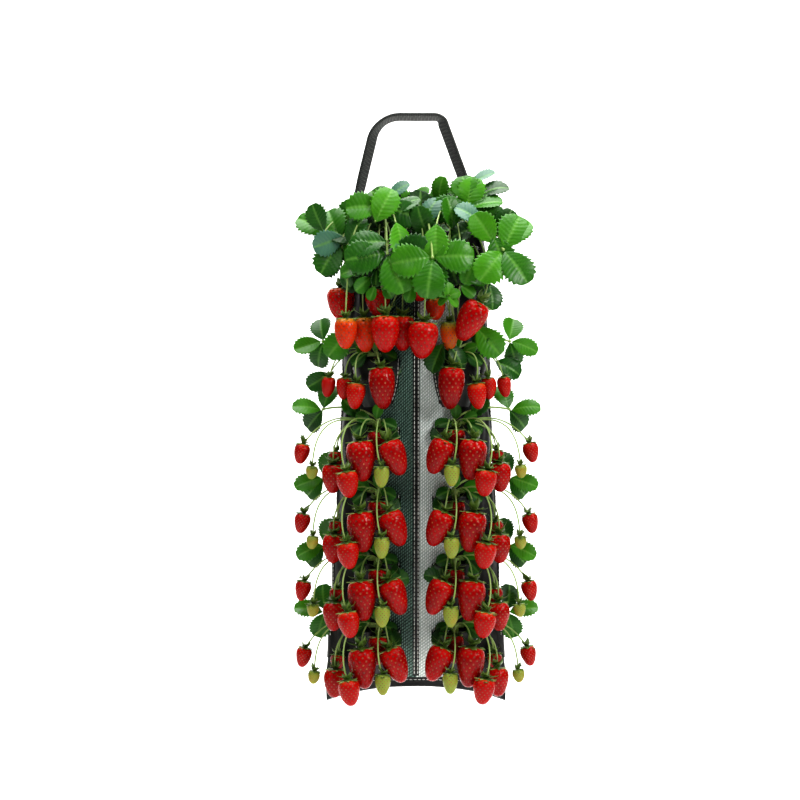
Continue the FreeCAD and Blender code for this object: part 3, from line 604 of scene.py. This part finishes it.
pocket_thread = bmesh.new()
in_front = Vector((0, -0.5 * MM, 0))
for name, side, row in POCKETS:
    for edge in (0.03, 0.97):
        sew(
            pocket_thread, lambda d: pocket_place(side, row, edge, LIP + d / POCKET_CLOTH) + in_front,
            POCKET_SEAM,
        )
finish_piece("pocket_stitches", pocket_thread, "bag", [THREAD])

# %% [markdown]
# ## Soil
#
# The mouth's soil is a lumpy disc just below the rim. The pockets' soil is mostly under leaves, so the CAD
# plugs stay and get the soil material.

# %% soil and crowns
SOIL_DROP = 11


def repaint(name, material):
    """Gives a CAD node that stays as it is a material of its own."""
    materials = frame["nodes"][name].data.materials
    materials.clear()
    materials.append(material)


def soil_place(u, v):
    """A lumpy disc: u round the mouth and v out from its middle."""
    edge = cloth_point(2 * math.pi * u, SOIL_DROP, -2.2)
    middle = Vector((0, BAG_Y, edge.z))
    place = middle.lerp(edge, v)
    lumps = noise.noise(place * 60) * 4 + noise.noise(place * 190) * 1.6
    return place + Vector((0, 0, (lumps * (1 - v ** 6) - 1.5) * MM))


soil = bmesh.new()
mapped_grid(soil, 90, 26, (0.4, 0.08), soil_place)
finish_piece("mouth_soil", soil, "bag", [SOIL], ["soil_core"])
repaint("pocket_soil", SOIL)
repaint("pocket_crowns", CROWN)
repaint("top_crowns", CROWN)

# %% [markdown]
# ## The strap
#
# One length of webbing, folded double, goes from one side of the bag over the hook to the other. Its middle
# line is known from the CAD: straight legs, two bends, a flat top, and two tails sewn down the bag's sides.
# The legs are turned a little, so the photo shows their inner faces. A closed section is carried along it.

# %% strap
STRAP_HALF = 12.5
STRAP_THICK = 4.4
HINGE_Z = -157.0
STRAP_TWIST = math.radians(-27)
# Where each side's leg would meet the flat top, and the bend's radius.
STRAP_CORNERS = {-1: (-57, 42), 1: (36, 12)}
TAIL_LENGTH = 86
TAIL_FORWARD = 14
TAIL_LIFT = 4.6
# Each tail and each bend is divided into this many steps.
STRAP_STEPS = 8
# Shares of a leg's length, with the share of its turn that it has there.
LEG_TURNS = ((0, 0.2), (0.1, 0.5), (0.28, 0.8), (0.5, 1), (0.75, 1))


def strap_stations(side):
    """Middle, direction and turn of the webbing, from the tail's end on one side to the flat top."""
    stations = []
    hang = math.asin(TAIL_FORWARD / half_size(0, 2))
    for step in range(STRAP_STEPS + 1):
        drop = TAIL_LENGTH * (1 - step / STRAP_STEPS)
        angle = math.asin(TAIL_FORWARD / half_size(drop, 2))
        place = cloth_point(angle if side > 0 else math.pi - angle, drop, TAIL_LIFT) / MM
        stations.append((place, Vector((0, 0, 1)), -side * hang))
    foot = Vector((stations[-1][0].x, 0, HINGE_Z))
    corner_x, radius = STRAP_CORNERS[side]
    corner = Vector((corner_x, 0, STRAP_THICK / 2))
    rise = (corner - foot).normalized()
    flat = Vector((-side, 0, 0))
    turn = rise.angle(flat)
    run = radius * math.tan(turn / 2)
    twist = -side * STRAP_TWIST
    leg = corner - rise * run - foot
    for share, part in LEG_TURNS:
        stations.append((foot + leg * share, rise, twist * part))
    centre = corner + flat * run - Vector((0, 0, radius))
    for step in range(STRAP_STEPS + 1):
        share = step / STRAP_STEPS
        swing = Matrix.Rotation(turn * (1 - share), 3, Vector((0, side, 0)))
        stations.append((centre + swing @ Vector((0, 0, radius)), swing @ flat, twist * max(1 - share, 0.45)))
    return stations


left, right = strap_stations(-1), strap_stations(1)
course = left + [(place, -along, -turn) for place, along, turn in reversed(right)]
lengths = [0.0]
for before, after in zip(course, course[1:]):
    lengths.append(lengths[-1] + (after[0] - before[0]).length)


def strap_place(u, v):
    """u runs along the strap and v round its section: two plies with a groove between them."""
    at = u * lengths[-1]
    k = max(i for i in range(len(lengths) - 1) if lengths[i] <= at)
    t = (at - lengths[k]) / max(lengths[k + 1] - lengths[k], 1e-6)
    (p0, a0, t0), (p1, a1, t1) = course[k], course[k + 1]
    place, along, turn = p0.lerp(p1, t), a0.lerp(a1, t).normalized(), t0 + (t1 - t0) * t
    back = Matrix.Rotation(turn, 3, along) @ Vector((0, 1, 0))
    face = along.cross(back).normalized()
    angle = 2 * math.pi * v
    wide = math.copysign(abs(math.cos(angle)) ** 0.12, math.cos(angle))
    thick = math.copysign(abs(math.sin(angle)) ** 0.45, math.sin(angle))
    groove = 0.35 * math.exp(-(thick / 0.18) ** 2)
    wave = 0.5 * noise.noise(Vector((at * 0.02, 0, 3)))
    return (place + back * wide * (STRAP_HALF - groove) + face * (thick * STRAP_THICK / 2 + wave)) * MM


strap = bmesh.new()
mapped_grid(strap, 240, 40, (0.6, 0.06), strap_place)
strap_piece = finish_piece(
    "strap_webbing", strap, None, [WEBBING],
    ["handle_strap", "strap_tail_left", "strap_tail_right"],
)
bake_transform(strap_piece)

# %% [markdown]
# ## Reading the CAD fruit
#
# Each CAD berry is a plain closed solid, and a node holds several. A merged copy is searched for its separate
# solids. A berry's shoulder is its largest flat patch. It gives the way the berry hangs, and from it the
# length and the width are measured.

# %% separate solids
def solids_of(node):
    """The separate solids of a CAD node, each as its own list of faces, in a merged copy."""
    copy = bmesh.new()
    copy.from_mesh(frame["nodes"][node].data)
    bmesh.ops.remove_doubles(copy, verts=copy.verts, dist=0.002 * MM)
    left_over, groups = set(copy.faces), []
    for face in copy.faces:
        if face not in left_over:
            continue
        group, waiting = [], [face]
        left_over.discard(face)
        while waiting:
            here = waiting.pop()
            group.append(here)
            for near in [f for e in here.edges for f in e.link_faces]:
                if near in left_over:
                    left_over.discard(near)
                    waiting.append(near)
        groups.append(group)
    return copy, groups


def points_of(group):
    """The corners of a solid's faces, each once and always in the same order."""
    return [v.co.copy() for v in dict.fromkeys(v for f in group for v in f.verts)]


def hanging_shape(group):
    """A berry's shoulder, the direction it hangs in, its length and its width."""
    patches = {}
    for face in group:
        key = tuple(round(c, 2) for c in face.normal)
        patches.setdefault(key, []).append(face)
    flat = max(patches.values(), key=lambda faces: sum(f.calc_area() for f in faces))
    area = sum(f.calc_area() for f in flat)
    shoulder = sum((f.calc_center_median() * f.calc_area() for f in flat), Vector()) / area
    hang = -flat[0].normal
    reach = [(p - shoulder) for p in points_of(group)]
    length = max(r.dot(hang) for r in reach)
    width = 2 * max((r - hang * r.dot(hang)).length for r in reach)
    return shoulder, hang, length, width


# %% [markdown]
# ## One berry, then ninety
#
# A profile is spun into a berry one unit long and wide. Every second face of the skin, staggered like a
# chessboard, is inset and pushed in, and a seed rises in each dimple: that is how seeds sit on a real one.
# Copies are scaled to each CAD berry and bent a little out of round.

# %% master berry
# Radius and depth below the shoulder, from the tip up.
PROFILE = (
    (0.0, 1.0), (0.107, 0.985), (0.193, 0.94), (0.266, 0.872), (0.328, 0.79), (0.38, 0.7), (0.424, 0.605),
    (0.458, 0.508), (0.484, 0.412), (0.497, 0.315), (0.498, 0.22), (0.475, 0.125), (0.425, 0.04),
    (0.34, -0.015), (0.18, -0.02), (0.0, 0.0),
)
LAST_RING = len(PROFILE) - 2
SEEDED_RINGS = range(1, 12)
BERRY_SIDES = 26

master = bmesh.new()
line = [master.verts.new((r, 0, -t)) for r, t in PROFILE]
edges = [master.edges.new(pair) for pair in zip(line, line[1:])]
bmesh.ops.spin(
    master, geom=line + edges, cent=(0, 0, 0), axis=(0, 0, 1), angle=2 * math.pi, steps=BERRY_SIDES,
    use_merge=True,
)
bmesh.ops.remove_doubles(master, verts=master.verts, dist=1e-4)
bmesh.ops.recalc_face_normals(master, faces=master.faces)
seeded = []
for face in master.faces:
    centre = face.calc_center_median()
    depth = -centre.z
    ring = next(
        i for i in range(LAST_RING + 1) if PROFILE[i][1] >= depth >= PROFILE[i + 1][1] or i == LAST_RING
    )
    sector = int((math.atan2(centre.y, centre.x) / (2 * math.pi) % 1) * BERRY_SIDES)
    if ring in SEEDED_RINGS and (ring + sector) % 2 == 0:
        seeded.append(face)
# The face's edge stays, then the dimple goes in and the seed comes up in it.
bmesh.ops.inset_individual(master, faces=seeded, thickness=0.014, depth=0)
bmesh.ops.inset_individual(master, faces=seeded, thickness=0.015, depth=-0.016)
bmesh.ops.inset_individual(master, faces=seeded, thickness=0.009, depth=0.008)
for face in seeded:
    face.material_index = 1
berry_mesh = bpy.data.meshes.new("berry_master")
master.to_mesh(berry_mesh)
master.free()
print(len(seeded), "seeds on", len(berry_mesh.polygons), "faces")

# %% [markdown]
# Most berries are ripe. Two small ones of each full truss are still green, and a few under the mouth are
# orange. Their ripeness, from 0 to 1, is chosen by order in the truss, as the photo shows it.

# %% berries on their trusses
FULL_RIPENESS = (0.86, 0.9, 0.84, 0.06, 0.82, 0.74, 0.8, 0.78, 0.1)
FIRST_RIPENESS = (0.86, 0.64, 0.72, 0.76)
TOP_RIPENESS = (0.66, 0.5, 0.52, 0.62, 0.72, 0.74, 0.68, 0.78, 0.5, 0.34, 0.8)


def add_copy(bm, mesh, matrix):
    """Adds a copy of a mesh to another, moved by a matrix, and returns its corners."""
    first = len(bm.verts)
    bm.from_mesh(mesh)
    bm.verts.ensure_lookup_table()
    added = bm.verts[first:]
    bmesh.ops.transform(bm, matrix=matrix, verts=added)
    return added


def upright_to(shoulder, hang, wide, long, spin):
    """The matrix that hangs a unit shape, which points down, from a shoulder."""
    turn = Vector((0, 0, -1)).rotation_difference(hang).to_matrix().to_4x4()
    size = Matrix.Diagonal((wide, wide, long, 1))
    return Matrix.Translation(shoulder) @ turn @ Matrix.Rotation(spin, 4, "Z") @ size


def dress_berries(node, body, ripeness):
    """Puts a seeded berry over every CAD berry of a node; returns their shapes for the calyxes."""
    copy, groups = solids_of(node)
    shapes = [hanging_shape(group) for group in groups]
    copy.free()
    bm = bmesh.new()
    ripe_layer = bm.verts.layers.float.new("ripeness")
    dice = random.Random(node)
    for (shoulder, hang, length, width), ripe in zip(shapes, ripeness):
        spot = upright_to(shoulder, hang, width, length, dice.uniform(0, 6.28))
        back = spot.inverted()
        offset = Vector((dice.uniform(0, 9), dice.uniform(0, 9), dice.uniform(0, 9)))
        for v in add_copy(bm, berry_mesh, spot):
            local = back @ v.co
            lumps = 1 + 0.05 * noise.noise(local * 2.3 + offset)
            v.co = spot @ Vector((local.x * lumps, local.y * lumps, local.z * (0.97 + 0.03 * lumps)))
            pale = max(0, 0.24 + local.z) * 1.1
            v[ripe_layer] = ripe - pale + 0.05 * noise.noise(local * 2 + offset)
    finish_piece(node.replace("_berries", "_fruit"), bm, body, [BERRY_SKIN, SEED], [node])
    return shapes


berry_shapes = {}
for name, side, row in POCKETS:
    truss = f"truss_{name}_{row}"
    wanted = FIRST_RIPENESS if row == 1 else FULL_RIPENESS
    berry_shapes[truss] = dress_berries(f"{truss}_berries", truss, wanted)
berry_shapes["top"] = dress_berries("top_berries", "bag", TOP_RIPENESS)

# %% [markdown]
# ## Calyxes
#
# Every berry hangs under a tuft of pointed sepals: every other one lies on the berry's shoulder and the rest
# stand up round the stalk. One sepal is a small grid drawn to a point; twelve copies go round. The CAD stalks
# keep their own thin solids and only take a material.

# %% calyxes and stalks
SEPALS = 12
sepal = bmesh.new()


def sepal_place(u, v):
    """A sepal one unit long: narrow, pointed, sagging first and then lifting."""
    half = 0.25 * math.sin(math.pi * min(1, 0.25 + 0.75 * v)) ** 0.8 * (1 - v ** 6)
    across = 2 * u - 1
    height = 0.16 * v * (1 - v) - 0.3 * v * v + 0.3 * v ** 5 + 0.1 * abs(across) * half
    return Vector((across * half, v, height))


mapped_grid(sepal, 2, 6, (1, 1), sepal_place)
sepal_mesh = bpy.data.meshes.new("sepal_master")
sepal.to_mesh(sepal_mesh)
sepal.free()

for truss, shapes in berry_shapes.items():
    bm = bmesh.new()
    vein_layer = bm.verts.layers.float.new("vein")
    dice = random.Random(truss)
    for shoulder, hang, length, width in shapes:
        for k in range(SEPALS):
            reach = (6 * MM + width * 0.36) * dice.uniform(0.8, 1.2)
            lift = dice.uniform(0.3, 1.1) if k % 2 else dice.uniform(-0.3, 0.0)
            tilt = Matrix.Rotation(lift, 4, "X")
            spin = 2 * math.pi * (k + dice.uniform(-0.25, 0.25)) / SEPALS
            spot = upright_to(shoulder - hang * 0.05 * length, hang, 1, 1, spin)
            for v in add_copy(bm, sepal_mesh, spot @ tilt @ Matrix.Scale(reach, 4)):
                v[vein_layer] = 0.25 * dice.random()
    body, stalks = ("bag", "top_berry_stalks") if truss == "top" else (truss, f"{truss}_stalks")
    finish_piece(f"{truss}_calyxes", bm, body, [CALYX], thickness=0.4 * MM)
    repaint(stalks, STALK)

# %% [markdown]
# ## Leaves
#
# A strawberry leaf has three toothed leaflets on one stalk. A leaflet is a grid drawn to a rounded outline
# with teeth along its edge. Straight veins run from the middle rib to the teeth and the blade swells between
# them, so the light breaks up as it does on a real leaf.

# %% leaflets
TEETH = 9
# How far along a leaflet it is widest, and how far its side veins slant, in teeth.
WIDEST = 0.6
VEIN_SLANT = 2.2
# A blade bends over a ball of this radius, and one longer than the next size gets a finer grid.
DOME_RADIUS = 78 * MM
LARGE_LEAFLET = 36.5 * MM


def vein_phase(across, v):
    """How many side veins lie between a leaflet's base and a point of it."""
    return v * TEETH - VEIN_SLANT * across * (0.4 + 0.6 * v)


def leaf_outline(t):
    """A leaflet's width at a share of its length, as a share of its largest."""
    if t < WIDEST:
        return math.sin(math.pi / 2 * t / WIDEST) ** 0.85
    return max(0, 1 - ((t - WIDEST) / (1 - WIDEST)) ** 2.2) ** 0.55


def leaflet(bm, base, tip, facing, width, tint, dice):
    """One leaflet from its base to its tip, its upper side towards a facing."""
    vein_layer = bm.verts.layers.float.get("vein") or bm.verts.layers.float.new("vein")
    tint_layer = bm.verts.layers.float.get("tint") or bm.verts.layers.float.new("tint")
    curl = dice.uniform(0.6, 2.8)
    along = (tip - base).normalized()
    length = (tip - base).length
    up = (facing - along * facing.dot(along)).normalized()
    across_way = along.cross(up)
    droop = dice.uniform(0.7, 1.9)
    skew = dice.uniform(-0.06, 0.06)

    def place(u, v):
        across = 2 * u - 1
        tooth = (v * TEETH) % 1
        edge = abs(across) ** 5
        half = width / 2 * leaf_outline(v) * (1 + edge * 0.26 * (tooth - 0.5))
        x = across * half + skew * length * v * v
        y = v * length + edge * 0.02 * length * tooth
        swell = 0.007 * length * min(1, 2.5 * leaf_outline(v)) * (1 - edge)
        quilt = math.cos(2 * math.pi * vein_phase(abs(across), v)) * swell
        dome = (x * x + (y - length / 2) ** 2) / (2 * DOME_RADIUS) * droop
        fold = abs(across) * 0.07 * half * 2 * curl
        z = fold - dome + (length / 2) ** 2 / (2 * DOME_RADIUS) - quilt
        return base + across_way * x + along * y + up * z

    columns, rows = (12, TEETH * 4) if length > LARGE_LEAFLET else (8, TEETH * 2)
    for v, u, t in mapped_grid(bm, columns, rows, (width, length), place):
        across = abs(2 * u - 1)
        phase = vein_phase(across, t) % 1
        rib = math.exp(-(across / 0.05) ** 2)
        side_vein = 0.4 * math.exp(-(min(phase, 1 - phase) / 0.1) ** 2) * (1 - 0.6 * across)
        v[vein_layer] = min(1, max(rib, side_vein)) * 0.45
        v[tint_layer] = tint


def blade_shape(group, roots):
    """A CAD blade's base, tip, facing and width; its base is the end nearest a stalk, its crest is up."""
    points = points_of(group)
    middle = sum(points, Vector()) / len(points)
    far = max(points, key=lambda p: (p - middle).length)
    other = max(points, key=lambda p: (p - far).length)
    near_root = [min((p - r).length for r in roots) for p in (far, other)]
    base, tip = (far, other) if near_root[0] < near_root[1] else (other, far)
    along = (tip - base).normalized()
    sideways = [(p - base) - along * (p - base).dot(along) for p in points]
    widest = max(sideways, key=lambda s: s.length)
    width_way = widest.normalized()
    facing = along.cross(width_way).normalized()
    width_way = facing.cross(along)
    width = max(s.dot(width_way) for s in sideways) - min(s.dot(width_way) for s in sideways)

    def off_centre(point):
        reach = point - base
        return abs(reach.dot(along) - (tip - base).length / 2) + 2 * abs(reach.dot(width_way))

    crest = min(points, key=off_centre)
    if (crest - base).dot(facing) < 0:
        facing = -facing
    return base, tip, facing, width


# The canopy is lowered left of its tall end, fully after a stretch, to half its height above a level.
TALL_END = 80 * MM
SETTLING = 40 * MM
CANOPY_LEVEL = -140 * MM


def settled(point):
    """A place in the canopy, lowered: it stands high over the right end of the mouth only."""
    share = min(1, max(0, (TALL_END - point.x) / SETTLING))
    return point - Vector((0, 0, share * 0.5 * max(0, point.z - CANOPY_LEVEL)))


def dress_leaf(node, roots, keep_first):
    """Leaflets over a node's CAD blades; with keep_first, the node's first solid stays as the stalk."""
    copy, groups = solids_of(node)
    bm = bmesh.new()
    dice = random.Random(node)
    if keep_first:
        stalk = groups.pop(0)
        roots = points_of(stalk)
    for index, group in enumerate(groups):
        base, tip, facing, width = blade_shape(group, roots)
        if not keep_first:
            base, tip = settled(base), settled(tip)
        # The first blade of a pocket's leaf is narrower, as in the photo.
        outer = keep_first and index == 0
        tint = 0.65 if outer else dice.uniform(0.15, 0.75)
        leaflet(bm, base, tip, facing, width * (0.78 if outer else 1), tint, dice)
    if keep_first:
        inside = {v for f in stalk for v in f.verts}
        bmesh.ops.delete(copy, geom=[v for v in copy.verts if v not in inside], context="VERTS")
        kept = bpy.data.meshes.new(f"{node}_stalk")
        copy.to_mesh(kept)
        stem = bmesh.new()
        stem.from_mesh(kept)
        finish_piece(f"{node}_stalk", stem, "bag", [STALK])
    copy.free()
    finish_piece(f"{node}_leaflets", bm, "bag", [LEAF], [node], thickness=0.35 * MM)
    return len(groups)


total = 0
for name, side, row in POCKETS:
    total += dress_leaf(f"leaf_{name}_{row}", (), True)
petioles, stems = solids_of("top_petioles")
roots = [p for group in stems for p in points_of(group)]
total += dress_leaf("top_leaf_blades", roots, False)
for v in petioles.verts:
    v.co = settled(v.co)
finish_piece("top_leaf_stalks", petioles, "bag", [STALK], ["top_petioles"])
print(total, "leaflets")

# %% [markdown]
# ## A denser canopy
#
# The plants in the mouth are far leafier than the thirty CAD blades, and small leaves fill each pocket. These
# are placed one by one from the photo: where a leaflet's middle is, the way it points in the picture, its
# length and how light it is. A thin curved stalk goes from each down to the nearest crown.

# %% more leaves
# Middle in mm (x, y, z), heading in degrees (0 is right, 90 is up), length in mm and tint. The darkest tints,
# 0.1 and under, are painted shade: near-black leaves set in the gaps behind and between the lit ones. A tint
# of 1.0 reaches the pale blue-green stop, partly leaf colour and partly painted sky sheen.
CANOPY = (
    (-150, -40, -162, 150, 50, 0.6), (-126, -70, -187, 200, 46, 1.0), (-123, -60, -216, 230, 42, 0.15),
    (-96, -50, -146, 80, 44, 0.5), (-63, -60, -150, 120, 50, 0.1), (-45, -85, -137, 60, 54, 0.75),
    (-16, -70, -137, 30, 48, 0.3), (-26, -30, -110, 35, 40, 1.0), (-69, -100, -193, 190, 56, 0.35),
    (-25, -104, -187, 280, 52, 0.75), (-32, -100, -234, 250, 50, 0.5), (23, -104, -234, 285, 52, 0.45),
    (28, -106, -190, 270, 52, 0.75), (20, -60, -143, 60, 46, 1.0), (36, -20, -107, 80, 40, 0.65),
    (47, -75, -146, 100, 46, 0.5), (77, -50, -117, 75, 52, 0.75), (110, -40, -112, 20, 48, 0.15),
    (96, -20, -92, 25, 42, 1.0), (101, -60, -133, 10, 46, 0.6), (73, -80, -150, 150, 44, 0.9),
    (96, -92, -169, 120, 50, 0.75), (143, -80, -177, 40, 50, 0.7), (117, -92, -206, 290, 54, 0.45),
    (73, -98, -234, 250, 34, 0.6), (-82, -90, -216, 260, 44, 0.4), (70, -70, -174, 200, 48, 0.2),
    (6, -60, -170, 90, 50, 0.1), (-104, -60, -178, 160, 48, 0.2), (50, -90, -207, 240, 46, 0.2),
    (-53, -94, -210, 215, 46, 0.15), (123, -70, -160, 60, 46, 0.3), (-139, -66, -152, 110, 44, 0.35),
    (10, -84, -160, 110, 48, 0.35), (-86, -76, -172, 60, 46, 0.3), (108, -40, -262, 280, 42, 0.3),
    (-111, -58, -331, 230, 50, 0.6), (103, -58, -328, 310, 52, 0.65), (132, -40, -366, 330, 42, 0.3),
    (-140, -40, -384, 215, 38, 0.25), (31, -74, -352, 250, 44, 0.2), (57, -72, -350, 300, 40, 0.15),
    (-31, -50, -672, 10, 42, 0.4), (29, -50, -668, 170, 38, 0.3), (-34, -22, -136, 100, 50, 0.05),
    (4, -20, -132, 80, 50, 0.08), (42, -24, -136, 70, 48, 0.05), (76, -24, -142, 60, 46, 0.1),
    (-64, -22, -158, 130, 50, 0.08), (-94, -28, -168, 150, 46, 0.1), (-12, -44, -164, 200, 52, 0.05),
    (104, -26, -154, 30, 46, 0.08), (-48, -70, -222, 250, 50, 0.05), (4, -76, -222, 270, 52, 0.05),
    (52, -72, -226, 290, 46, 0.08), (-88, -56, -238, 240, 44, 0.1), (88, -60, -236, 300, 44, 0.1),
    (44, -104, -258, 90, 24, 0.78), (36, -104, -263, 155, 20, 0.74), (52, -104, -263, 25, 20, 0.78),
    (38, -105, -272, 220, 20, 0.7), (50, -105, -273, 315, 22, 0.75), (-10, -100, -262, 250, 26, 0.55),
    (-76, -98, -248, 220, 30, 0.5), (-40, -100, -258, 300, 24, 0.55), (72, -96, -258, 320, 26, 0.6),
    (14, -102, -246, 200, 24, 0.3), (-100, -70, -240, 300, 26, 0.25), (-58, -100, -240, 265, 26, 0.15),
    (-42, -8, -166, 90, 50, 0.05), (-108, -40, -190, 100, 44, 0.08), (-92, -96, -230, 200, 34, 0.55),
    (84, -94, -242, 335, 32, 0.55), (-26, -102, -252, 235, 24, 0.5), (-62, -102, -262, 250, 22, 0.6),
)
# Leaves above this height lie back, towards the sky.
HIGH_LEAVES = -150
CROWN_X = (-52, 0, 52)
CROWN_Z = -166
PIVOTS = {joint["child"]: Vector(joint["pos_m"]) for joint in frame["joints"]}
ROOTS = [Vector((x * MM, 0, CROWN_Z * MM)) for x in CROWN_X]
ROOTS += [pivot for body, pivot in PIVOTS.items() if body != "bag"]


def stalk_tube(bm, start, bend, end, radius):
    """A thin round stalk along the curve from start to end that is drawn towards a bend."""
    side = (bend - start).cross(end - start).normalized()

    def place(u, v):
        at = start * (1 - u) ** 2 + bend * (2 * u * (1 - u)) + end * u * u
        way = ((bend - start) * (1 - u) + (end - bend) * u).normalized()
        angle = 2 * math.pi * v
        return at + (side * math.cos(angle) + way.cross(side) * math.sin(angle)) * radius

    mapped_grid(bm, 12, 6, (0.1, 0.01), place)


leaves, leaf_stalks = bmesh.new(), bmesh.new()
dice = random.Random("canopy")
for x, y, z, heading, length, tint in CANOPY:
    turn = math.radians(heading)
    along = Vector((math.cos(turn), dice.uniform(-0.25, 0.15), math.sin(turn))).normalized()
    middle = Vector((x, y, z)) * MM
    base, tip = middle - along * (length / 2 * MM), middle + along * (length / 2 * MM)
    lie_back = 1.1 if z > HIGH_LEAVES else 0
    facing = Vector((dice.uniform(-0.8, 0.8), -1, dice.uniform(-0.1, 0.9) + lie_back))
    leaflet(leaves, base, tip, facing, length * 0.82 * MM, tint, dice)
    root = min(ROOTS, key=lambda place: (place - base).length)
    bend = root.lerp(base, 0.55) + Vector((0, 0, (base - root).length * 0.5))
    stalk_tube(leaf_stalks, root, bend, base, 1.2 * MM)
finish_piece("canopy_leaflets", leaves, "bag", [LEAF], thickness=0.35 * MM)
finish_piece("canopy_stalks", leaf_stalks, "bag", [STALK])

# %% [markdown]
# Each pocket's plant also has six small leaves round its crown, the same on both sides of the seam.

# %% pocket leaves
# From the knuckle: outward, forward and up to the base in mm, heading in degrees, length in mm and tint.
POCKET_LEAVES = (
    (-6, 5, 3, 200, 26, 0.3), (8, 6, 4, 20, 24, 0.5), (0, 3, 6, 100, 22, 0.6), (14, 4, 2, 320, 28, 0.2),
    (-14, 4, 0, 240, 34, 0.15), (24, 0, 10, 50, 36, 0.35),
)
leaves = bmesh.new()
for name, side, row in POCKETS:
    pivot = PIVOTS[f"truss_{name}_{row}"]
    dice = random.Random(f"pocket {name} {row}")
    for out, forward, up, heading, length, tint in POCKET_LEAVES:
        base = pivot + Vector((side * out, -forward, up)) * MM
        turn = math.radians(heading + dice.uniform(-8, 8))
        along = Vector((side * math.cos(turn), dice.uniform(-0.4, 0), math.sin(turn))).normalized()
        facing = Vector((dice.uniform(-0.4, 0.4), -1, dice.uniform(0.1, 0.6)))
        leaflet(leaves, base, base + along * (length * MM), facing, length * 0.8 * MM, tint, dice)
finish_piece("pocket_small_leaves", leaves, "bag", [LEAF], thickness=0.3 * MM)

# %% [markdown]
# ## Studio
#
# The photo has a plain white ground. A wide sheet of paper swept up behind the object gives a floor with no
# horizon. It is clear from behind, so a view from the back still sees the bag.

# %% floor
PAPER = grained_material("white_paper_sweep", 2.5, ((0.3, "#f4f4f2"), (0.7, "#fafaf8")), 0.9, 1.45)
shader = PAPER.node_tree.nodes["Principled BSDF"]
reverse = add_node(PAPER, "ShaderNodeNewGeometry", {}).outputs["Backfacing"]
clear = add_node(PAPER, "ShaderNodeBsdfTransparent", {})
one_sided = add_node(PAPER, "ShaderNodeMixShader", {0: reverse, 1: shader.outputs[0], 2: clear.outputs[0]})
PAPER.node_tree.links.new(one_sided.outputs[0], PAPER.node_tree.nodes["Material Output"].inputs["Surface"])

FLOOR_Z = -1.12
SWEEP_WIDTH = 9
SWEEP_FRONT = -3.5
SWEEP_BACK = 0.5
SWEEP_RADIUS = 1.5
WALL_HEIGHT = 2.5


def sweep_place(u, v):
    """A floor for the first half of v, then a curve and a wall behind the object."""
    x = (u - 0.5) * SWEEP_WIDTH
    if v < 0.5:
        return Vector((x, SWEEP_FRONT + (SWEEP_BACK - SWEEP_FRONT) * 2 * v, FLOOR_Z))
    turn = (v - 0.5) * 4
    if turn < 1:
        angle = turn * math.pi / 2
        y, z = SWEEP_RADIUS * math.sin(angle), SWEEP_RADIUS * (1 - math.cos(angle))
        return Vector((x, SWEEP_BACK + y, FLOOR_Z + z))
    return Vector((x, SWEEP_BACK + SWEEP_RADIUS, FLOOR_Z + SWEEP_RADIUS + WALL_HEIGHT * (turn - 1)))


sweep = bmesh.new()
mapped_grid(sweep, 2, 64, (SWEEP_WIDTH, SWEEP_WIDTH), sweep_place)
floor_mesh = bpy.data.meshes.new("paper_sweep")
sweep.to_mesh(floor_mesh)
sweep.free()
floor_mesh.materials.append(PAPER)
floor_mesh.shade_smooth()
floor = bpy.data.objects.new("paper_sweep", floor_mesh)
bpy.context.scene.collection.objects.link(floor)
print("floor at", FLOOR_Z, "m")

# %% [markdown]
# The key light stands on the right, a weaker one above the camera, a faint one on the left, and a broad one
# whitens the paper. The world is pale to the camera only and gives little light, so the shadows stay deep.
# The camera looks level at the bag's middle from 2.6 m away through a long lens.

# %% light and camera
def area_light(name, place, target, size, power):
    """A square soft light that faces a target."""
    light = bpy.data.lights.new(name, "AREA")
    light.size = size
    light.energy = power
    lamp = bpy.data.objects.new(name, light)
    lamp.location = place
    lamp.rotation_euler = (Vector(target) - Vector(place)).to_track_quat("-Z", "Y").to_euler()
    bpy.context.scene.collection.objects.link(lamp)


MIDDLE = (0, 0, -0.45)
# Name, place, target, size in metres and power in watts.
LIGHTS = (
    ("key_light", (1.9, -1.7, 0.6), MIDDLE, 0.7, 43),
    ("front_light", (-0.6, -2.6, 1.2), MIDDLE, 0.8, 13),
    ("fill_light", (-2.0, -1.4, 0.2), MIDDLE, 1.4, 4),
    ("wall_light", (0, 0.4, 2.4), (0, 2.0, -0.3), 3.0, 240),
)
for light in LIGHTS:
    area_light(*light)

WORLD_LIGHT = 0.08
WORLD_SEEN = 0.9
world = bpy.data.worlds.new("studio")
world.use_nodes = True
seen = add_node(world, "ShaderNodeLightPath", {}).outputs["Is Camera Ray"]
glow = add_node(world, "ShaderNodeMath", {0: seen, 1: WORLD_SEEN, 2: WORLD_LIGHT}, operation="MULTIPLY_ADD")
fill(world.node_tree.nodes["Background"], {"Color": (1, 1, 1, 1), "Strength": glow.outputs[0]})
bpy.context.scene.world = world
bpy.context.scene.view_settings.view_transform = "Standard"
bpy.context.scene.view_settings.look = "Medium High Contrast"

CAMERA_PLACE = (-0.0234, -2.6, -0.4117)
LENS = 80
camera_data = bpy.data.cameras.new("camera")
camera_data.lens = LENS
camera = bpy.data.objects.new("camera", camera_data)
camera.location = CAMERA_PLACE
camera.rotation_euler = (math.pi / 2, 0, 0)
bpy.context.scene.collection.objects.link(camera)
bpy.context.scene.camera = camera
print(len(LIGHTS), "lights and a camera with a lens of", LENS, "mm")
